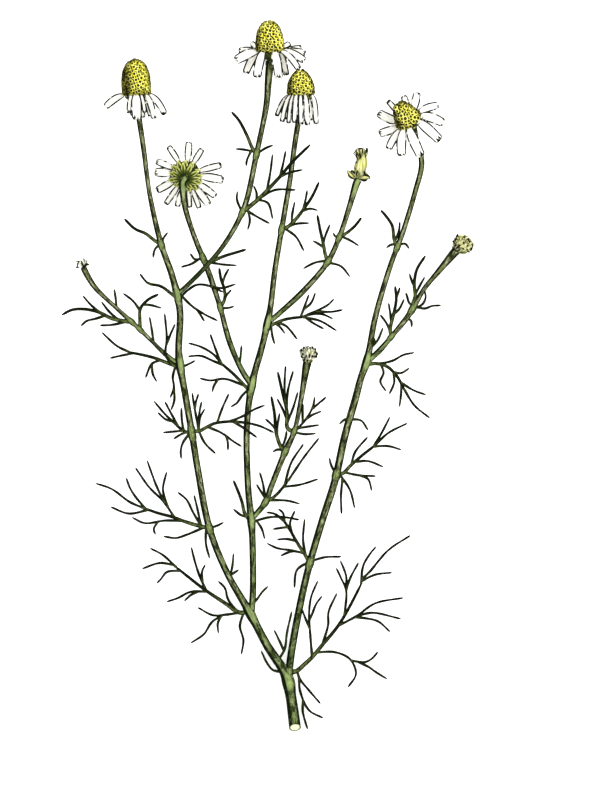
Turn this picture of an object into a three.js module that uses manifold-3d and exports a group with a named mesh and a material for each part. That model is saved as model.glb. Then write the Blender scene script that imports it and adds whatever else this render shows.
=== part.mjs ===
// A cut, flowering sprig of chamomile, lying on a flat surface.
//
// Millimetres, +Z up. The sprig lies along Y: its cut end points to -Y and its flowers to +Y.
// The origin is on the surface, under the middle of the sprig's box.
//
// Routes are written on a layout sheet, as a pressed sprig is laid out on paper: x runs to the
// right and y down from the sheet's top left corner, both in steps of the sheet, and a third
// number, where there is one, is the height over the surface in millimetres.

import * as THREE from "three";
import { mergeVertices } from "three/addons/utils/BufferGeometryUtils.js";
import Module from "manifold-3d";

const wasm = await Module();
wasm.setup();

// ---- Driving dimensions, in millimetres ----

const SPRIG_LENGTH = 213; // cut end to the tip of the highest flower head
const SHEET_LENGTH = 710; // the same length in steps of the layout sheet
const STEP = SPRIG_LENGTH / SHEET_LENGTH;
const SHEET_MIDDLE = { x: 268, y: 376 };

const SEAT_GAP = 0.3; // clear space between two pieces that touch
const FACET_ROOM = 0.06; // more of it round a stem, whose flats lie inside its radius
const LOBE_RADIUS = { root: 0.42, tip: 0.22 };
const RACHIS_RADIUS = { root: 0.6, tip: 0.42 };
const CLASP_WALL = 0.6; // a leaf's base is a narrow sheath around its stem
const CLASP_LENGTH = 2.4;
const LOBE_SPREAD = 0.2; // height that a lobe's tip gains or loses for each millimetre of lobe
const LOWEST_TIP = 0.7; // lowest middle line of a lobe, so that its skin stays over the surface

const RAY_THICKNESS = 0.36;
const RAY_ROOT = { radius: 3.2, height: 0.5 };
const RIM_RADIUS = 3.6; // where the rays leave the disc
const STRAIGHT_SHARE = 0.45; // of a ray's reach beyond the rim, before it bends to its tip
const NECK_LENGTH = 2.4; // of the receptacle, from the rim of its rays down to the stem
const CONE_SHARE = 0.8; // of the disc's height that the hollow receptacle fills

const STEM_SIDES = 6;
const CLASP_SIDES = 6;
const STEM_STEP = 9; // between two stations of a stem
const LOBE_SIDES = 3;
const LOBE_STEP = 5.5; // between two stations of a lobe
const MOST_LOBE_STEPS = 3;
const RIB_STEPS = 4;
const HEAD_SIDES = 8;
const RAY_STEPS = 2;
const BUD_STEPS = 12; // places along a bud where a bract can start
const STEM_SAMPLES = 200; // places along a stem where a leaf can clasp it
const SAME_POINT = 1e-4; // corners closer than this are one
const SLIM = 0.1; // radius of the section that is swept before it gets its real one

const STEM_GREEN = 0x5f7a3a;
const LEAF_GREEN = 0x2f4a24;
const BRACT_GREEN = 0x9aa64e;
const DISC_YELLOW = 0xe3d245;
const RAY_WHITE = 0xf6f4e6;
const BUD_CREAM = 0xd9d998;

// ---- Routes of the stems: [x, y, height], and of the small threads that grow from them ----

const STEMS = {
  stem_a: {
    radius: [1.5, 0.78],
    route: [[295, 727, 1.62], [291, 697, 1.9], [287, 676, 2.2], [268, 645, 2.8], [250, 611, 3.4],
      [229, 573, 4], [210, 528, 4.5], [198, 470, 5], [192, 433, 5.2], [186, 395, 5.5], [180, 355, 5.8],
      [180, 310, 6.3], [172, 275, 6.7], [160.5, 245, 7], [149, 195, 7.6], [143, 150, 8.2]],
    twigs: [[[284, 670], [271, 670], [261.5, 651.5, 0.9]], [[231, 577], [232.5, 565], [233.5, 554, 7]],
      [[281, 660], [284.5, 649], [287, 632], [291.5, 612, 5.5]], [[231, 575], [238, 570, 6.5]],
      [[284, 651], [280, 642], [274.5, 630.5, 5]]],
  },
  stem_d: {
    from: "stem_a",
    radius: [1.2, 0.85],
    route: [[288, 682, 2.1], [290.5, 655, 2.6], [298, 610, 3], [308, 568, 3.5], [323, 518, 4.1],
      [335, 482, 4.6], [346, 435, 5], [357, 400, 5.4], [368, 360, 5.8], [375, 318, 6], [390, 265, 6],
      [402, 233, 6], [415, 192, 5.4], [421.5, 165, 4.6], [419.5, 150, 3.9], [415.5, 138.5, 4.1]],
    twigs: [[[373, 350], [377, 341], [382.5, 328.5, 8]], [[375, 346], [374.5, 342], [373.5, 338, 8.8]],
      [[353, 420], [361, 420.5], [367.5, 429.5, 3]], [[350, 420.5], [345, 419.5], [340, 423.5, 8]]],
  },
  stem_c: {
    from: "stem_a",
    radius: [0.95, 0.8],
    route: [[251.5, 613, 3.4], [253, 590, 3.6], [252, 530, 4.2], [248, 485, 4.6], [247, 425, 5],
      [252, 384, 5.4], [263, 343, 5.9], [270, 310, 6.2], [275, 270, 6.7], [285, 210, 7.3],
      [290, 180, 7.6], [295, 143, 7.9]],
    twigs: [[[253, 603], [257, 599], [262, 592], [267.5, 586.5, 6]]],
  },
  stem_b: {
    from: "stem_a",
    radius: [0.8, 1.0],
    route: [[176, 296, 6.3], [187, 286, 7.4], [205, 268, 9.2], [222, 248, 9.6], [237, 224, 9.4],
      [245, 203, 9.2], [255, 155, 9], [265, 105, 9], [267, 80, 9]],
  },
  stem_e: {
    from: "stem_c",
    radius: [0.78, 0.8],
    route: [[252.3, 386, 5.4], [243, 371, 5.5], [230, 343, 5.6], [219, 303, 5.8], [206, 266, 6.1],
      [195, 237, 7.6], [186.5, 208, 9.6], [184.2, 193, 10.4], [183.4, 185, 9.9]],
    twigs: [[[241, 365], [240.5, 357], [241.5, 346.5, 7.5]]],
  },
  stem_f: {
    from: "stem_c",
    radius: [0.75, 1.15],
    route: [[267.3, 323.5, 6], [281, 310, 6.4], [303, 288.5, 6.8], [327, 262, 7], [339, 238, 7],
      [349, 208, 7], [357, 182, 7]],
  },
  stem_g: {
    from: "stem_d",
    radius: [0.85, 1.15],
    route: [[367, 362, 5.8], [380, 350, 6.1], [391, 337, 6.2], [408, 316, 5.8], [424, 289, 5],
      [438, 272, 4.2], [454, 253, 3.2]],
    twigs: [[[407, 318], [411, 321], [411.5, 326.5, 3]]],
  },
  stem_h: {
    from: "stem_c",
    radius: [0.8, 1.15],
    route: [[251, 520, 4.2], [265, 502, 4.6], [270, 487, 4.9], [284, 452, 5.2], [293, 432, 5.4],
      [300, 405, 5.7], [307, 363, 6]],
  },
  stem_i: {
    from: "stem_a",
    radius: [0.85, 0.75],
    route: [[181, 365, 5.8], [172, 358, 5.6], [150, 337, 5], [140, 327, 4.7], [118, 308, 4],
      [98, 286, 3], [84.5, 268, 2.3]],
    twigs: [[[117, 307], [116, 300], [114.5, 290, 6]], [[155, 343], [152, 330], [150, 318, 7.5]]],
  },
};

// ---- Leaves: where each clasps its stems, its middle rib and its lobes ----
// `rise` is how far the rib climbs from the stem to its tip. A lobe starts on the rib or on an
// earlier lobe. Its tip's height is given where it passes over or under another piece.

const LEAVES = {
  leaf_a1: {
    at: [291, 668], stems: ["stem_d", "stem_a"], rise: 2.5,
    rib: [[299, 668.5], [312, 657], [322, 645], [337, 627], [347, 611], [358, 590], [361, 584]],
    lobes: [
      [[312, 656], [310, 632], [309, 614], [311, 597], [317.5, 581]],
      [[309.5, 620], [312, 614], [316, 604], [321.5, 596.5]],
      [[307, 628], [304.5, 616], [302, 609]],
      [[321, 645], [328, 625], [328.5, 612], [336.5, 594]],
      [[343, 615], [346, 590], [341, 578], [336.5, 568.5]],
      [[346, 590], [346, 576], [340.5, 561]],
      [[348, 590], [350, 578], [358, 563]],
      [[361, 584], [363, 566], [369, 555], [375.5, 547]],
      [[362, 580], [369, 572], [388, 550], [409.5, 535.5]],
      [[364, 581], [375, 574.5], [391, 572.5]],
      [[339, 627], [356, 616], [375, 603], [402.5, 597.5]],
      [[356, 616], [372, 612.5], [400, 618.5]],
      [[354, 617], [366, 618], [378, 621], [389.5, 631]],
      [[318, 653], [335, 652], [350, 659], [356, 674], [348.5, 686.5]],
      [[352, 660], [364, 662], [371, 659], [377.5, 652]],
      [[358, 662], [369, 667], [376, 672], [386.5, 678.5]],
      [[298, 672], [300, 679], [308, 689], [320, 703, 0.8]],
      [[299, 677], [300, 690], [309, 710], [322.5, 717.5, 0.8]],
      [[302, 700], [303, 712], [307.5, 728.5, 0.8]],
    ],
  },
  leaf_a2: {
    at: [249, 612], stems: ["stem_a", "stem_c"], rise: -1,
    rib: [[240, 612.5], [225, 603], [209, 592.5], [200, 586], [186, 575], [176, 567]],
    lobes: [
      [[176, 567], [163, 555], [151, 548.5]],
      [[174, 565.5], [160, 563], [143, 568.5]],
      [[180, 571.5], [167, 572], [161, 579], [157.5, 582.5]],
      [[206, 590], [200, 577], [195, 562], [191.5, 548]],
      [[203, 583], [202, 572], [205, 565]],
      [[207, 591], [190, 592], [178, 598], [167.5, 601.5]],
      [[198, 591.5], [191, 595], [185, 600.5, 0.6]],
      [[238, 611], [228, 599], [225, 588], [219, 581.5, 6.8]],
      [[240, 613.5], [226, 614.5], [213, 615], [198.5, 607.5]],
      [[223, 615.5], [212, 622], [204, 634], [191.5, 642.5]],
      [[222, 616], [218, 623], [218.5, 632.5]],
      [[243, 614], [240, 626], [243.5, 640], [241.5, 653.5, 0.6]],
    ],
  },
  leaf_a3: {
    at: [209, 527.5], stems: ["stem_a"], rise: -1.5,
    rib: [[200, 526], [185, 521.5], [173, 517], [158, 513], [145, 508.5]],
    lobes: [
      [[145, 508.5], [130, 502], [112, 489], [96.5, 483.5]],
      [[146, 508.5], [135, 496], [130, 488], [126.5, 478.5]],
      [[148, 510], [129, 513.5], [111.5, 507]],
      [[175, 516], [164, 502], [149, 487], [136, 468.5]],
      [[165, 504], [157, 487], [147.5, 461]],
      [[168, 508], [163, 490], [166.5, 472.5]],
      [[183, 521], [165, 520.5], [145, 523], [133, 517.5]],
      [[159, 521.5], [154, 529], [155.5, 533.5]],
      [[202, 525], [193, 512], [187, 500], [178.5, 492.5]],
      [[203, 524], [198, 511], [194.5, 496, 7]],
      [[204, 529], [186, 535], [176, 538], [164.5, 536.5, 1]],
      [[212, 527], [217, 525.5], [223, 522.5, 6.5]],
      [[206, 531], [206, 543], [209.5, 557.5, 1.2]],
    ],
  },
  leaf_a4: {
    at: [191.5, 442], stems: ["stem_a"], rise: -0.5,
    rib: [[185, 437], [181, 430.5], [177, 425.5]],
    lobes: [
      [[177, 425.5], [165, 414], [154.5, 401.5]],
      [[172, 420.5], [166, 419.5], [158.5, 413]],
      [[179, 426], [171, 413], [165.5, 402.5]],
      [[183, 433], [182, 420], [181.5, 408.5, 7.5]],
      [[183, 432], [175, 431.5], [164, 432.5]],
      [[185, 434], [180, 435], [174.5, 438.5]],
      [[185, 442], [182.5, 447], [181.5, 458, 3]],
    ],
  },
  leaf_a5: {
    at: [193, 430], stems: ["stem_a"], rise: 2,
    rib: [[203, 431], [214, 424], [228, 421.5], [236, 421.5]],
    lobes: [
      [[198.5, 427], [196, 415], [194, 404], [192.5, 393.5, 8.8]],
      [[195, 409], [196, 402], [198.5, 394.5, 9.4]],
      [[199, 427], [199.5, 413], [201.5, 402.5, 7.4]],
      [[198, 429], [200, 418], [204.5, 409.5, 5.5]],
      [[217, 423], [222, 409], [228.5, 394.5, 4]],
      [[230, 421.5], [243, 416], [255, 409], [264, 405.5, 9]],
      [[236, 421.5], [248, 423], [260, 426], [273, 432, 9]],
      [[232, 422], [244, 428], [256.5, 437, 8.8]],
      [[209, 428], [222, 433], [233, 441], [241, 446, 3]],
      [[226, 435.5], [228, 443], [228, 449.5, 4]],
      [[199, 432], [205, 443], [215, 453, 2]],
    ],
  },
  leaf_a6: {
    at: [181.5, 367], stems: ["stem_a", "stem_i"], rise: -1,
    rib: [[174, 365.5], [165, 362], [156, 358.5], [145, 355.5], [130, 352.5]],
    lobes: [
      [[130, 352.5], [117, 346], [102.5, 333, 2]],
      [[133, 353], [120, 356], [111, 358, 1]],
      [[160, 360], [152, 364], [146, 377, 1.5]],
      [[152.5, 364], [153, 374], [156.5, 381, 2.5]],
      [[174, 365], [166, 356], [167, 338], [165, 314.5, 10]],
      [[166.5, 345], [170, 336], [175, 325, 9]],
      [[175, 368], [173, 377], [174, 388], [170.5, 397, 1.5]],
      [[173.5, 388], [174.5, 400], [171.5, 409.5, 3]],
      [[188, 367], [191, 363], [194.5, 361, 7.5]],
    ],
  },
  leaf_a7: {
    at: [179.5, 300], stems: ["stem_a", "stem_b"], rise: -2,
    rib: [[171.5, 294], [161, 286.5], [151, 284.5]],
    lobes: [
      [[151, 284.5], [147, 282.5], [140.5, 274.5]],
      [[186, 299], [194, 291], [207, 286.5], [220, 287.5], [235, 284.5, 8.8]],
      [[210, 286.5], [215, 290], [222.5, 292.5, 9.4]],
      [[186, 300], [192, 306], [204, 314], [217, 320.5, 8]],
      [[198, 310], [204, 320.5, 4]],
    ],
  },
  leaf_a8: {
    at: [160.5, 245], stems: ["stem_a"], rise: -1,
    rib: [[155, 241], [146, 234], [135, 229], [125.5, 220]],
    lobes: [
      [[163, 242], [164, 238], [167.5, 233.5, 9]],
      [[158, 249], [155, 250], [153.5, 257, 5]],
    ],
  },
  leaf_b1: {
    at: [243, 212], stems: ["stem_b"], rise: 2,
    rib: [[247, 209], [258, 200], [268, 190], [281, 176], [292, 163], [309.5, 146]],
    lobes: [
      [[267, 191], [270, 175], [272.5, 155.5, 8.2]],
      [[280, 177], [283, 165], [285.5, 152.5, 11.5]],
      [[280, 178], [290, 173], [302, 170.5, 11.5]],
      [[259, 199], [275, 190.5], [295, 190.5, 11]],
      [[257, 201], [256.5, 193], [254, 187, 7.5]],
      [[259, 200], [268, 203.5], [272.5, 218.5, 9]],
      [[248, 212], [257, 217], [269, 223.5, 9.6]],
      [[247, 213], [250, 221], [248, 229.5, 7]],
      [[238, 209], [237, 200], [237.5, 192.5, 7.5]],
    ],
  },
  leaf_b2: {
    at: [255, 156], stems: ["stem_b"], rise: 0.6,
    rib: [[252, 148], [247, 136], [239, 121], [232.5, 113.5]],
    lobes: [
      [[251, 154], [243, 150], [236.5, 149.5, 7]],
      [[259, 154], [265, 149], [272.5, 146, 10]],
      [[249.5, 157], [247, 161], [246.5, 165.5, 7.5]],
    ],
  },
  leaf_c1: {
    at: [252, 522], stems: ["stem_c", "stem_h"], rise: 1.2,
    rib: [[245, 514], [242, 502], [238, 491], [234, 481.5]],
    lobes: [
      [[245.5, 517], [241, 515], [234, 509.5, 3]],
      [[259, 521.5], [270, 517], [285, 517], [298.5, 519.5, 6.6]],
      [[258, 525], [262, 529], [264.5, 538, 2.4]],
    ],
  },
  leaf_c2: {
    at: [251.5, 391], stems: ["stem_c"], rise: -1,
    rib: [[245, 386], [235, 375.5], [222, 364]],
    lobes: [
      [[222, 364], [213, 354], [201, 347], [189.5, 343.5, 8.6]],
      [[221, 363], [217, 353], [210.5, 335, 3]],
      [[224, 366], [213, 361], [201, 356], [189, 356.5, 2.8]],
      [[244, 387], [225, 379], [210, 380.5], [200.5, 378.5, 3]],
      [[218, 380], [214, 386], [212.5, 391.5, 4]],
      [[248, 390], [242, 396], [237, 403], [231.5, 406.5, 3.5]],
    ],
  },
  leaf_c3: {
    at: [266.8, 327], stems: ["stem_c", "stem_f"], rise: 0.6,
    rib: [[274, 324], [282, 320.5], [290, 318.5], [303, 317]],
    lobes: [
      [[300, 317], [304, 308], [308.5, 295.5, 4]],
      [[304, 309], [311, 303], [315, 293.5, 3.5]],
      [[303, 317], [314, 312], [327, 305.5], [333.5, 299.5, 8]],
      [[316, 311.5], [330, 312], [342, 310, 6.5]],
      [[308, 315], [321, 314], [332, 318.5, 5]],
      [[303, 317], [320, 321], [336, 330.5, 7]],
      [[305, 318.5], [313, 323], [323, 328.5, 4]],
      [[276, 321], [286, 326], [297, 339, 4]],
      [[275, 321], [280, 327], [284.5, 333, 7.6]],
      [[272.5, 330], [272.5, 336], [274.5, 343.5, 3.5]],
    ],
  },
  leaf_c4: {
    at: [283.5, 230], stems: ["stem_c"], rise: 1,
    rib: [[288, 227], [297, 218], [306, 206], [312, 197], [318.5, 183.5]],
    lobes: [
      [[291, 223.5], [292, 216], [294.5, 203, 5]],
      [[303, 210], [305.5, 200], [307, 191.5, 9.5]],
      [[303, 211], [310, 209], [317, 210.5, 6.5]],
      [[288, 228], [297, 224], [308.5, 223.5, 8.6]],
      [[286, 232], [296, 237], [303.5, 250.5, 5.5]],
    ],
  },
  leaf_d1: {
    at: [309.5, 562], stems: ["stem_d"], rise: -0.6,
    rib: [[304, 553], [298, 544], [290, 530], [284, 521]],
    lobes: [
      [[284, 521], [275, 514], [267.5, 512.5, 1.6]],
      [[284, 521], [283, 513], [279, 509.5, 3.4]],
      [[292, 533], [290, 523], [294.5, 511.5, 1.2]],
      [[288, 527.5], [280, 528], [273.5, 529, 4]],
      [[295, 541], [287, 539], [278, 539.5, 1.4]],
      [[306, 555], [303, 540], [304.5, 519.5, 5]],
      [[302, 554], [289, 550], [277, 548], [267.5, 543.5, 3.6]],
      [[294, 552.5], [288, 552.5], [281.5, 555.5, 1]],
      [[306, 563], [297, 570], [294.5, 587, 0.8]],
      [[313, 560], [325, 557], [340.5, 556.5, 5]],
    ],
  },
  leaf_d2: {
    at: [337, 476], stems: ["stem_d"], rise: -1,
    rib: [[343, 473], [350, 466], [360, 457], [374, 446]],
    lobes: [
      [[351, 464.5], [355, 452], [367, 437.5]],
      [[374, 446], [382, 432], [389.5, 417.5]],
      [[374, 446], [388, 433], [406.5, 423.5]],
      [[373, 447], [388, 446], [400.5, 449.5]],
      [[355, 462], [368, 461], [382.5, 466.5]],
      [[344, 472], [358, 475], [375, 476]],
      [[359, 475], [368, 479], [371.5, 490]],
      [[341, 478], [350, 490], [354.5, 507.5]],
      [[339, 480], [341, 495], [341.5, 513, 6.5]],
      [[333, 474], [331, 465], [329.5, 458.5, 7]],
    ],
  },
  leaf_d3: {
    at: [366.5, 367], stems: ["stem_d", "stem_g"], rise: -1.5,
    rib: [[374, 363.5], [386, 366], [396, 375], [404, 389]],
    lobes: [
      [[378, 361], [395, 359.5], [413.5, 353]],
      [[381, 363], [382, 376], [385.5, 390.5]],
      [[393, 373], [394, 383], [389.5, 393.5]],
      [[394, 373], [401, 373], [408.5, 368.5]],
      [[401, 382], [413, 390], [425, 394.5]],
      [[401, 383], [401, 394], [399.5, 406]],
      [[404, 389], [414, 405], [429, 417.5]],
    ],
  },
  leaf_d4: {
    at: [397, 247], stems: ["stem_d"], rise: 1,
    rib: [[394, 240], [392, 226], [387, 218], [381.5, 211.5]],
    lobes: [
      [[398, 241], [398.5, 232], [399.5, 223, 9]],
      [[394, 246], [391, 245], [387, 247.5, 4]],
      [[401, 244], [405, 244], [408.5, 248.5, 7.5]],
    ],
  },
  leaf_e1: {
    at: [221, 308], stems: ["stem_e"], rise: 1,
    rib: [[225, 298], [224, 288], [221, 279], [219.5, 269.5]],
    lobes: [
      [[222.5, 284], [225, 276], [228.5, 269.5, 5]],
      [[224, 301], [227, 295], [231, 290.5, 7.4]],
      [[224, 309], [228, 308], [233.5, 306.5, 4]],
    ],
  },
  leaf_e2: {
    at: [203, 260], stems: ["stem_e"], rise: -1.4,
    rib: [[208, 262], [225, 256], [245, 250]],
    lobes: [
      [[208, 262], [222, 264.5], [236, 265.5, 3.6]],
      [[199, 261], [195, 259.5], [191, 254.5, 9]],
      [[200, 262], [192, 264], [182, 267, 4.4]],
    ],
  },
  leaf_f1: {
    at: [327, 262], stems: ["stem_f"], rise: 0.6,
    rib: [[325, 254], [323, 243], [320, 230], [317.5, 216.5]],
    lobes: [
      [[323, 243], [326, 234], [329.5, 225.5, 4.6]],
      [[323.5, 248], [318, 244], [313.5, 241.5, 9]],
      [[323, 262], [315, 263], [304, 268.5, 9]],
      [[331, 263], [341, 266.5], [349.5, 276.5, 5]],
    ],
  },
  leaf_f2: {
    at: [339, 238], stems: ["stem_f"], rise: -1,
    rib: [[344, 235], [354, 227], [360.5, 219]],
    lobes: [
      [[336, 238], [335, 236.5], [333.5, 234, 9]],
      [[343, 239], [350, 240.5], [358, 245.5, 5]],
    ],
  },
  leaf_g1: {
    at: [391, 337], stems: ["stem_g"], rise: 1,
    rib: [[390, 329], [393, 316], [396, 300], [395, 287.5]],
    lobes: [
      [[390.5, 330], [386, 323], [380.5, 315.5, 8]],
      [[391, 322], [390, 313], [388.5, 304, 5]],
      [[396, 298], [398, 293], [399.5, 288.5, 5]],
      [[393, 315], [399, 309], [403.5, 300, 9]],
    ],
  },
  leaf_g2: {
    at: [413, 306], stems: ["stem_g"], rise: 1.5,
    rib: [[408.5, 300], [413, 288], [414.5, 275], [424.5, 257]],
    lobes: [
      [[413, 288], [411.5, 281], [409.5, 274.5, 5]],
      [[414, 283], [419, 282], [423.5, 278, 9.5]],
      [[409, 302], [407, 298], [406, 293, 4]],
      [[420, 308], [426, 300], [425.5, 294], [422.5, 290, 8]],
      [[419, 310], [428, 308.5], [440, 305.5, 3.4]],
    ],
  },
  leaf_h1: {
    at: [265, 502], stems: ["stem_h"], rise: 1,
    rib: [[271, 499], [278, 493], [287, 482]],
    lobes: [
      [[285, 485], [291, 463], [303, 444.5, 7.8]],
      [[288, 481], [304, 457], [318.5, 438.5, 5]],
      [[284, 486], [300, 484.5], [317.5, 479, 7.6]],
      [[271, 501], [287, 500.5], [299, 503.5, 2.6]],
      [[264, 498], [263, 484], [260, 473, 7]],
      [[263, 497], [260, 490], [257, 485, 3]],
    ],
  },
  leaf_h2: {
    at: [283.5, 452], stems: ["stem_h"], rise: -0.4,
    rib: [[280, 445], [276, 432], [274.5, 414], [271.5, 397.5]],
    lobes: [
      [[275.5, 428], [270, 423], [266, 419.5, 2.8]],
      [[277, 436], [277.5, 425], [279.5, 414, 7.4]],
      [[284, 447], [285.5, 438], [286.5, 431.5, 8]],
      [[281, 452], [278, 449.5], [273.5, 451.5, 3]],
    ],
  },
  leaf_h3: {
    at: [293, 432], stems: ["stem_h"], rise: 2,
    rib: [[287.5, 428], [287, 412], [283, 395], [278, 373]],
    lobes: [
      [[286, 404], [284.5, 385], [285.5, 367, 9.4]],
      [[287, 408], [288, 390], [293, 371.5, 7.4]],
      [[290, 420], [283, 410], [277.5, 399.5, 4.6]],
      [[293, 424], [293, 408], [297.5, 393, 8.6]],
      [[299.5, 430], [306, 419], [313, 406], [314.5, 397.5, 3.4]],
      [[311, 409], [319, 403], [325.5, 397.5, 5.6]],
      [[305, 418], [312, 415], [320.5, 411.5, 6.5]],
      [[299.5, 431], [308, 426.5], [318.5, 425, 3]],
      [[294, 437], [304, 434], [315, 433.5, 6]],
      [[303, 423], [302.5, 413], [303, 405, 8.6]],
    ],
  },
  leaf_i1: {
    at: [141.5, 329], stems: ["stem_i"], rise: 1.5,
    rib: [[140, 320], [140.5, 309], [148, 300], [157.5, 295]],
    lobes: [
      [[140, 311], [133, 301], [124, 294, 4.2]],
      [[144, 304.5], [150, 305], [161, 308, 5]],
    ],
  },
  leaf_i2: {
    at: [133, 321], stems: ["stem_i"], rise: -2.4,
    rib: [[126, 321.5], [112, 319], [98, 314.5], [63, 314.5]],
    lobes: [
      [[101, 315.5], [92, 306], [83.5, 296.5, 4]],
      [[120, 320.5], [110, 312.5], [102, 302.5, 1.8]],
      [[106, 317], [96, 320], [83, 324.5, 0.6]],
      [[127, 322.5], [112, 325], [101, 325.5, 2.6]],
    ],
  },
};

// ---- Open flower heads: middle of the disc's foot, the way it faces, and its rays' tips ----
// A ray's fourth number is its full width in millimetres. A dome is the disc's outline from its rim
// up, as [radius, share of the disc's height].

const FLOWERS = {
  flower_a: {
    stem: "stem_a", foot: [137, 96.5, 8.6], facing: [-0.04, 1, 0.03], height: 11.2,
    dome: [[4.2, 0.14], [4.25, 0.38], [3.95, 0.62], [3.4, 0.77], [2.6, 0.89]],
    rays: [[105.5, 108, 8, 1.7], [129.5, 114.5, 13.6, 1.6], [136, 120, 14.6, 3],
      [145.5, 114, 14, 1.5], [155, 120, 12.4, 2], [165.5, 115.5, 9.2, 1.9], [151, 117, 3.6, 2],
      [143, 118, 1, 2], [133, 116, 1, 2]],
  },
  flower_b: {
    stem: "stem_b", foot: [270, 53, 9], facing: [-0.03, 1, 0.08], height: 9.6,
    dome: [[4.15, 0.16], [4.1, 0.38], [3.65, 0.62], [2.95, 0.8], [2.05, 0.92]],
    rays: [[238.5, 51.5, 8.6, 2.2], [235.5, 62, 11, 2.6], [245.5, 74, 4, 2.1], [257, 79, 14.4, 2.4],
      [279, 79.5, 14.4, 2.4], [286.5, 76, 4.4, 1.7], [299, 70.5, 12.4, 1.8], [305, 62, 10.6, 2.1],
      [306, 54, 8.4, 1.7], [302, 47.5, 6, 1.5], [290, 42.5, 1.6, 2], [251, 42.5, 2, 2],
      [268, 66, 0.8, 2]],
  },
  flower_c: {
    stem: "stem_c", foot: [301, 96.5, 8.2], facing: [-0.02, 1, 0.02], height: 8.3,
    dome: [[4.05, 0.17], [3.85, 0.4], [3.3, 0.6], [2.4, 0.79], [1.3, 0.92]],
    rays: [[276.5, 117, 8, 1.6], [282, 123, 10.6, 1.8], [288.5, 124.5, 12.2, 1.6],
      [294.5, 124, 13.2, 1.9], [301, 126, 13.4, 1.8], [307.5, 126.5, 12.6, 2], [316, 125.5, 9.4, 2],
      [311, 121, 3.6, 2], [303, 122, 0.9, 2], [294, 121, 0.9, 2], [286, 120, 4, 2]],
  },
  flower_d: {
    stem: "stem_d", foot: [409.5, 122.5, 7.6], facing: [-0.48, 0.72, 0.5], height: 7.3,
    dome: [[4.1, 0.17], [3.9, 0.4], [3.4, 0.62], [2.8, 0.8], [2, 0.92]],
    rays: [[377.5, 112.5, 4.6, 2.3], [378.5, 134, 7.6, 2.1], [388, 149.5, 10, 1.9],
      [401.5, 157, 11.4, 2.6], [421, 157.5, 11.4, 2.7], [440, 141, 9.8, 2.5], [444, 124.5, 7.2, 2.1],
      [438.5, 106, 4, 2], [417, 92.5, 1.4, 2.1], [403.5, 95.5, 0.8, 2.1], [387.5, 100.5, 1.8, 2]],
  },
  flower_e: {
    stem: "stem_e", foot: [186, 176, 5.5], facing: [0.2, 0.45, -0.87], height: 4.6,
    dome: [[3.8, 0.32], [3.5, 0.6], [2.8, 0.8], [1.8, 0.93]],
    rays: [[168.5, 146.5, 9.5, 1.7], [189.5, 142.5, 11.3, 2], [202.5, 150, 11.2, 1.7],
      [222, 166, 10.2, 1.8], [224, 180.5, 8.2, 2.4], [216, 197, 4.9, 2], [209, 205.5, 3, 2.2],
      [199.5, 208.5, 2, 1.9], [190, 208, 1.2, 1.7], [177, 207, 0.9, 2], [165.5, 204.5, 0.8, 2],
      [156.5, 191, 1.9, 2.1], [154.5, 172.5, 4.6, 2.5], [156, 161.5, 6.5, 1.9]],
  },
};

// ---- Buds and half-open heads: foot, top, largest radius, and the tips of their bracts ----

const BUDS = {
  bud_f: {
    stem: "stem_f", foot: [358.5, 178, 7], top: [361, 156, 7.2], radius: 1.65,
    outline: [[0, 0.75], [0.12, 1], [0.5, 0.95], [0.85, 0.85], [1, 0.45]],
    bracts: [[[356, 176], [351, 175], [347.5, 171.5, 7.6]], [[362, 176], [366, 178], [369.5, 178.5, 6.4]],
      [[358, 160], [355.5, 152], [355, 157, 7.8]], [[361, 158], [361, 151], [361.5, 148.5, 7.4]],
      [[364, 158], [366, 153], [367, 148.5, 7]]],
  },
  bud_g: {
    stem: "stem_g", foot: [457.5, 249.5, 3.1], top: [467.5, 240, 3.1], radius: 2.7,
    outline: [[0, 0.42], [0.2, 0.85], [0.5, 1], [0.8, 0.82], [1, 0.3]],
    bracts: [[[458, 246], [455, 242], [457, 236, 4]], [[462, 240], [464, 238], [464.5, 236, 3.2]],
      [[467, 246], [471, 246], [472.5, 243, 3.4]]],
  },
  bud_h: {
    stem: "stem_h", foot: [307.5, 360.5, 6], top: [309.5, 346.5, 6.3], radius: 2.3,
    outline: [[0, 0.5], [0.2, 0.9], [0.5, 1], [0.8, 0.85], [1, 0.35]],
    bracts: [[[305, 355], [302, 352], [301, 348, 6]], [[312, 353], [315.5, 352], [316.5, 353.5, 6.4]],
      [[306, 350], [304, 347], [303.5, 346, 7.6]]],
  },
  bud_i: {
    stem: "stem_i", foot: [83.6, 266.5, 2.2], top: [82, 259, 2.4], radius: 1.25,
    outline: [[0, 0.55], [0.3, 0.95], [0.6, 1], [0.85, 0.8], [1, 0.35]],
    bracts: [[[82, 265], [79, 264], [76.5, 266.5, 1.6]], [[84, 263], [86.5, 263], [88.5, 264.5, 2.4]],
      [[81, 262], [79, 261], [77, 261.5, 3]]],
  },
};

// ---- Solids ----

function at([x, y, height = 0]) {
  return new THREE.Vector3((x - SHEET_MIDDLE.x) * STEP, (SHEET_MIDDLE.y - y) * STEP, height);
}

function solidOf(geometry) {
  const bare = geometry.index ? geometry.toNonIndexed() : geometry.clone();
  bare.deleteAttribute("normal");
  bare.deleteAttribute("uv");
  const merged = mergeVertices(bare, SAME_POINT);
  const vertProperties = merged.attributes.position.array;
  const triVerts = new Uint32Array(merged.index.array);
  return new wasm.Manifold(new wasm.Mesh({ numProp: 3, vertProperties, triVerts }));
}

function geometryOf(solid) {
  const mesh = solid.getMesh();
  const geometry = new THREE.BufferGeometry();
  geometry.setAttribute("position", new THREE.BufferAttribute(mesh.vertProperties, 3));
  geometry.setIndex(new THREE.BufferAttribute(mesh.triVerts, 1));
  geometry.computeVertexNormals();
  return geometry;
}

function joined(solids) {
  return solids.reduce((sum, solid) => sum.add(solid));
}

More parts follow.
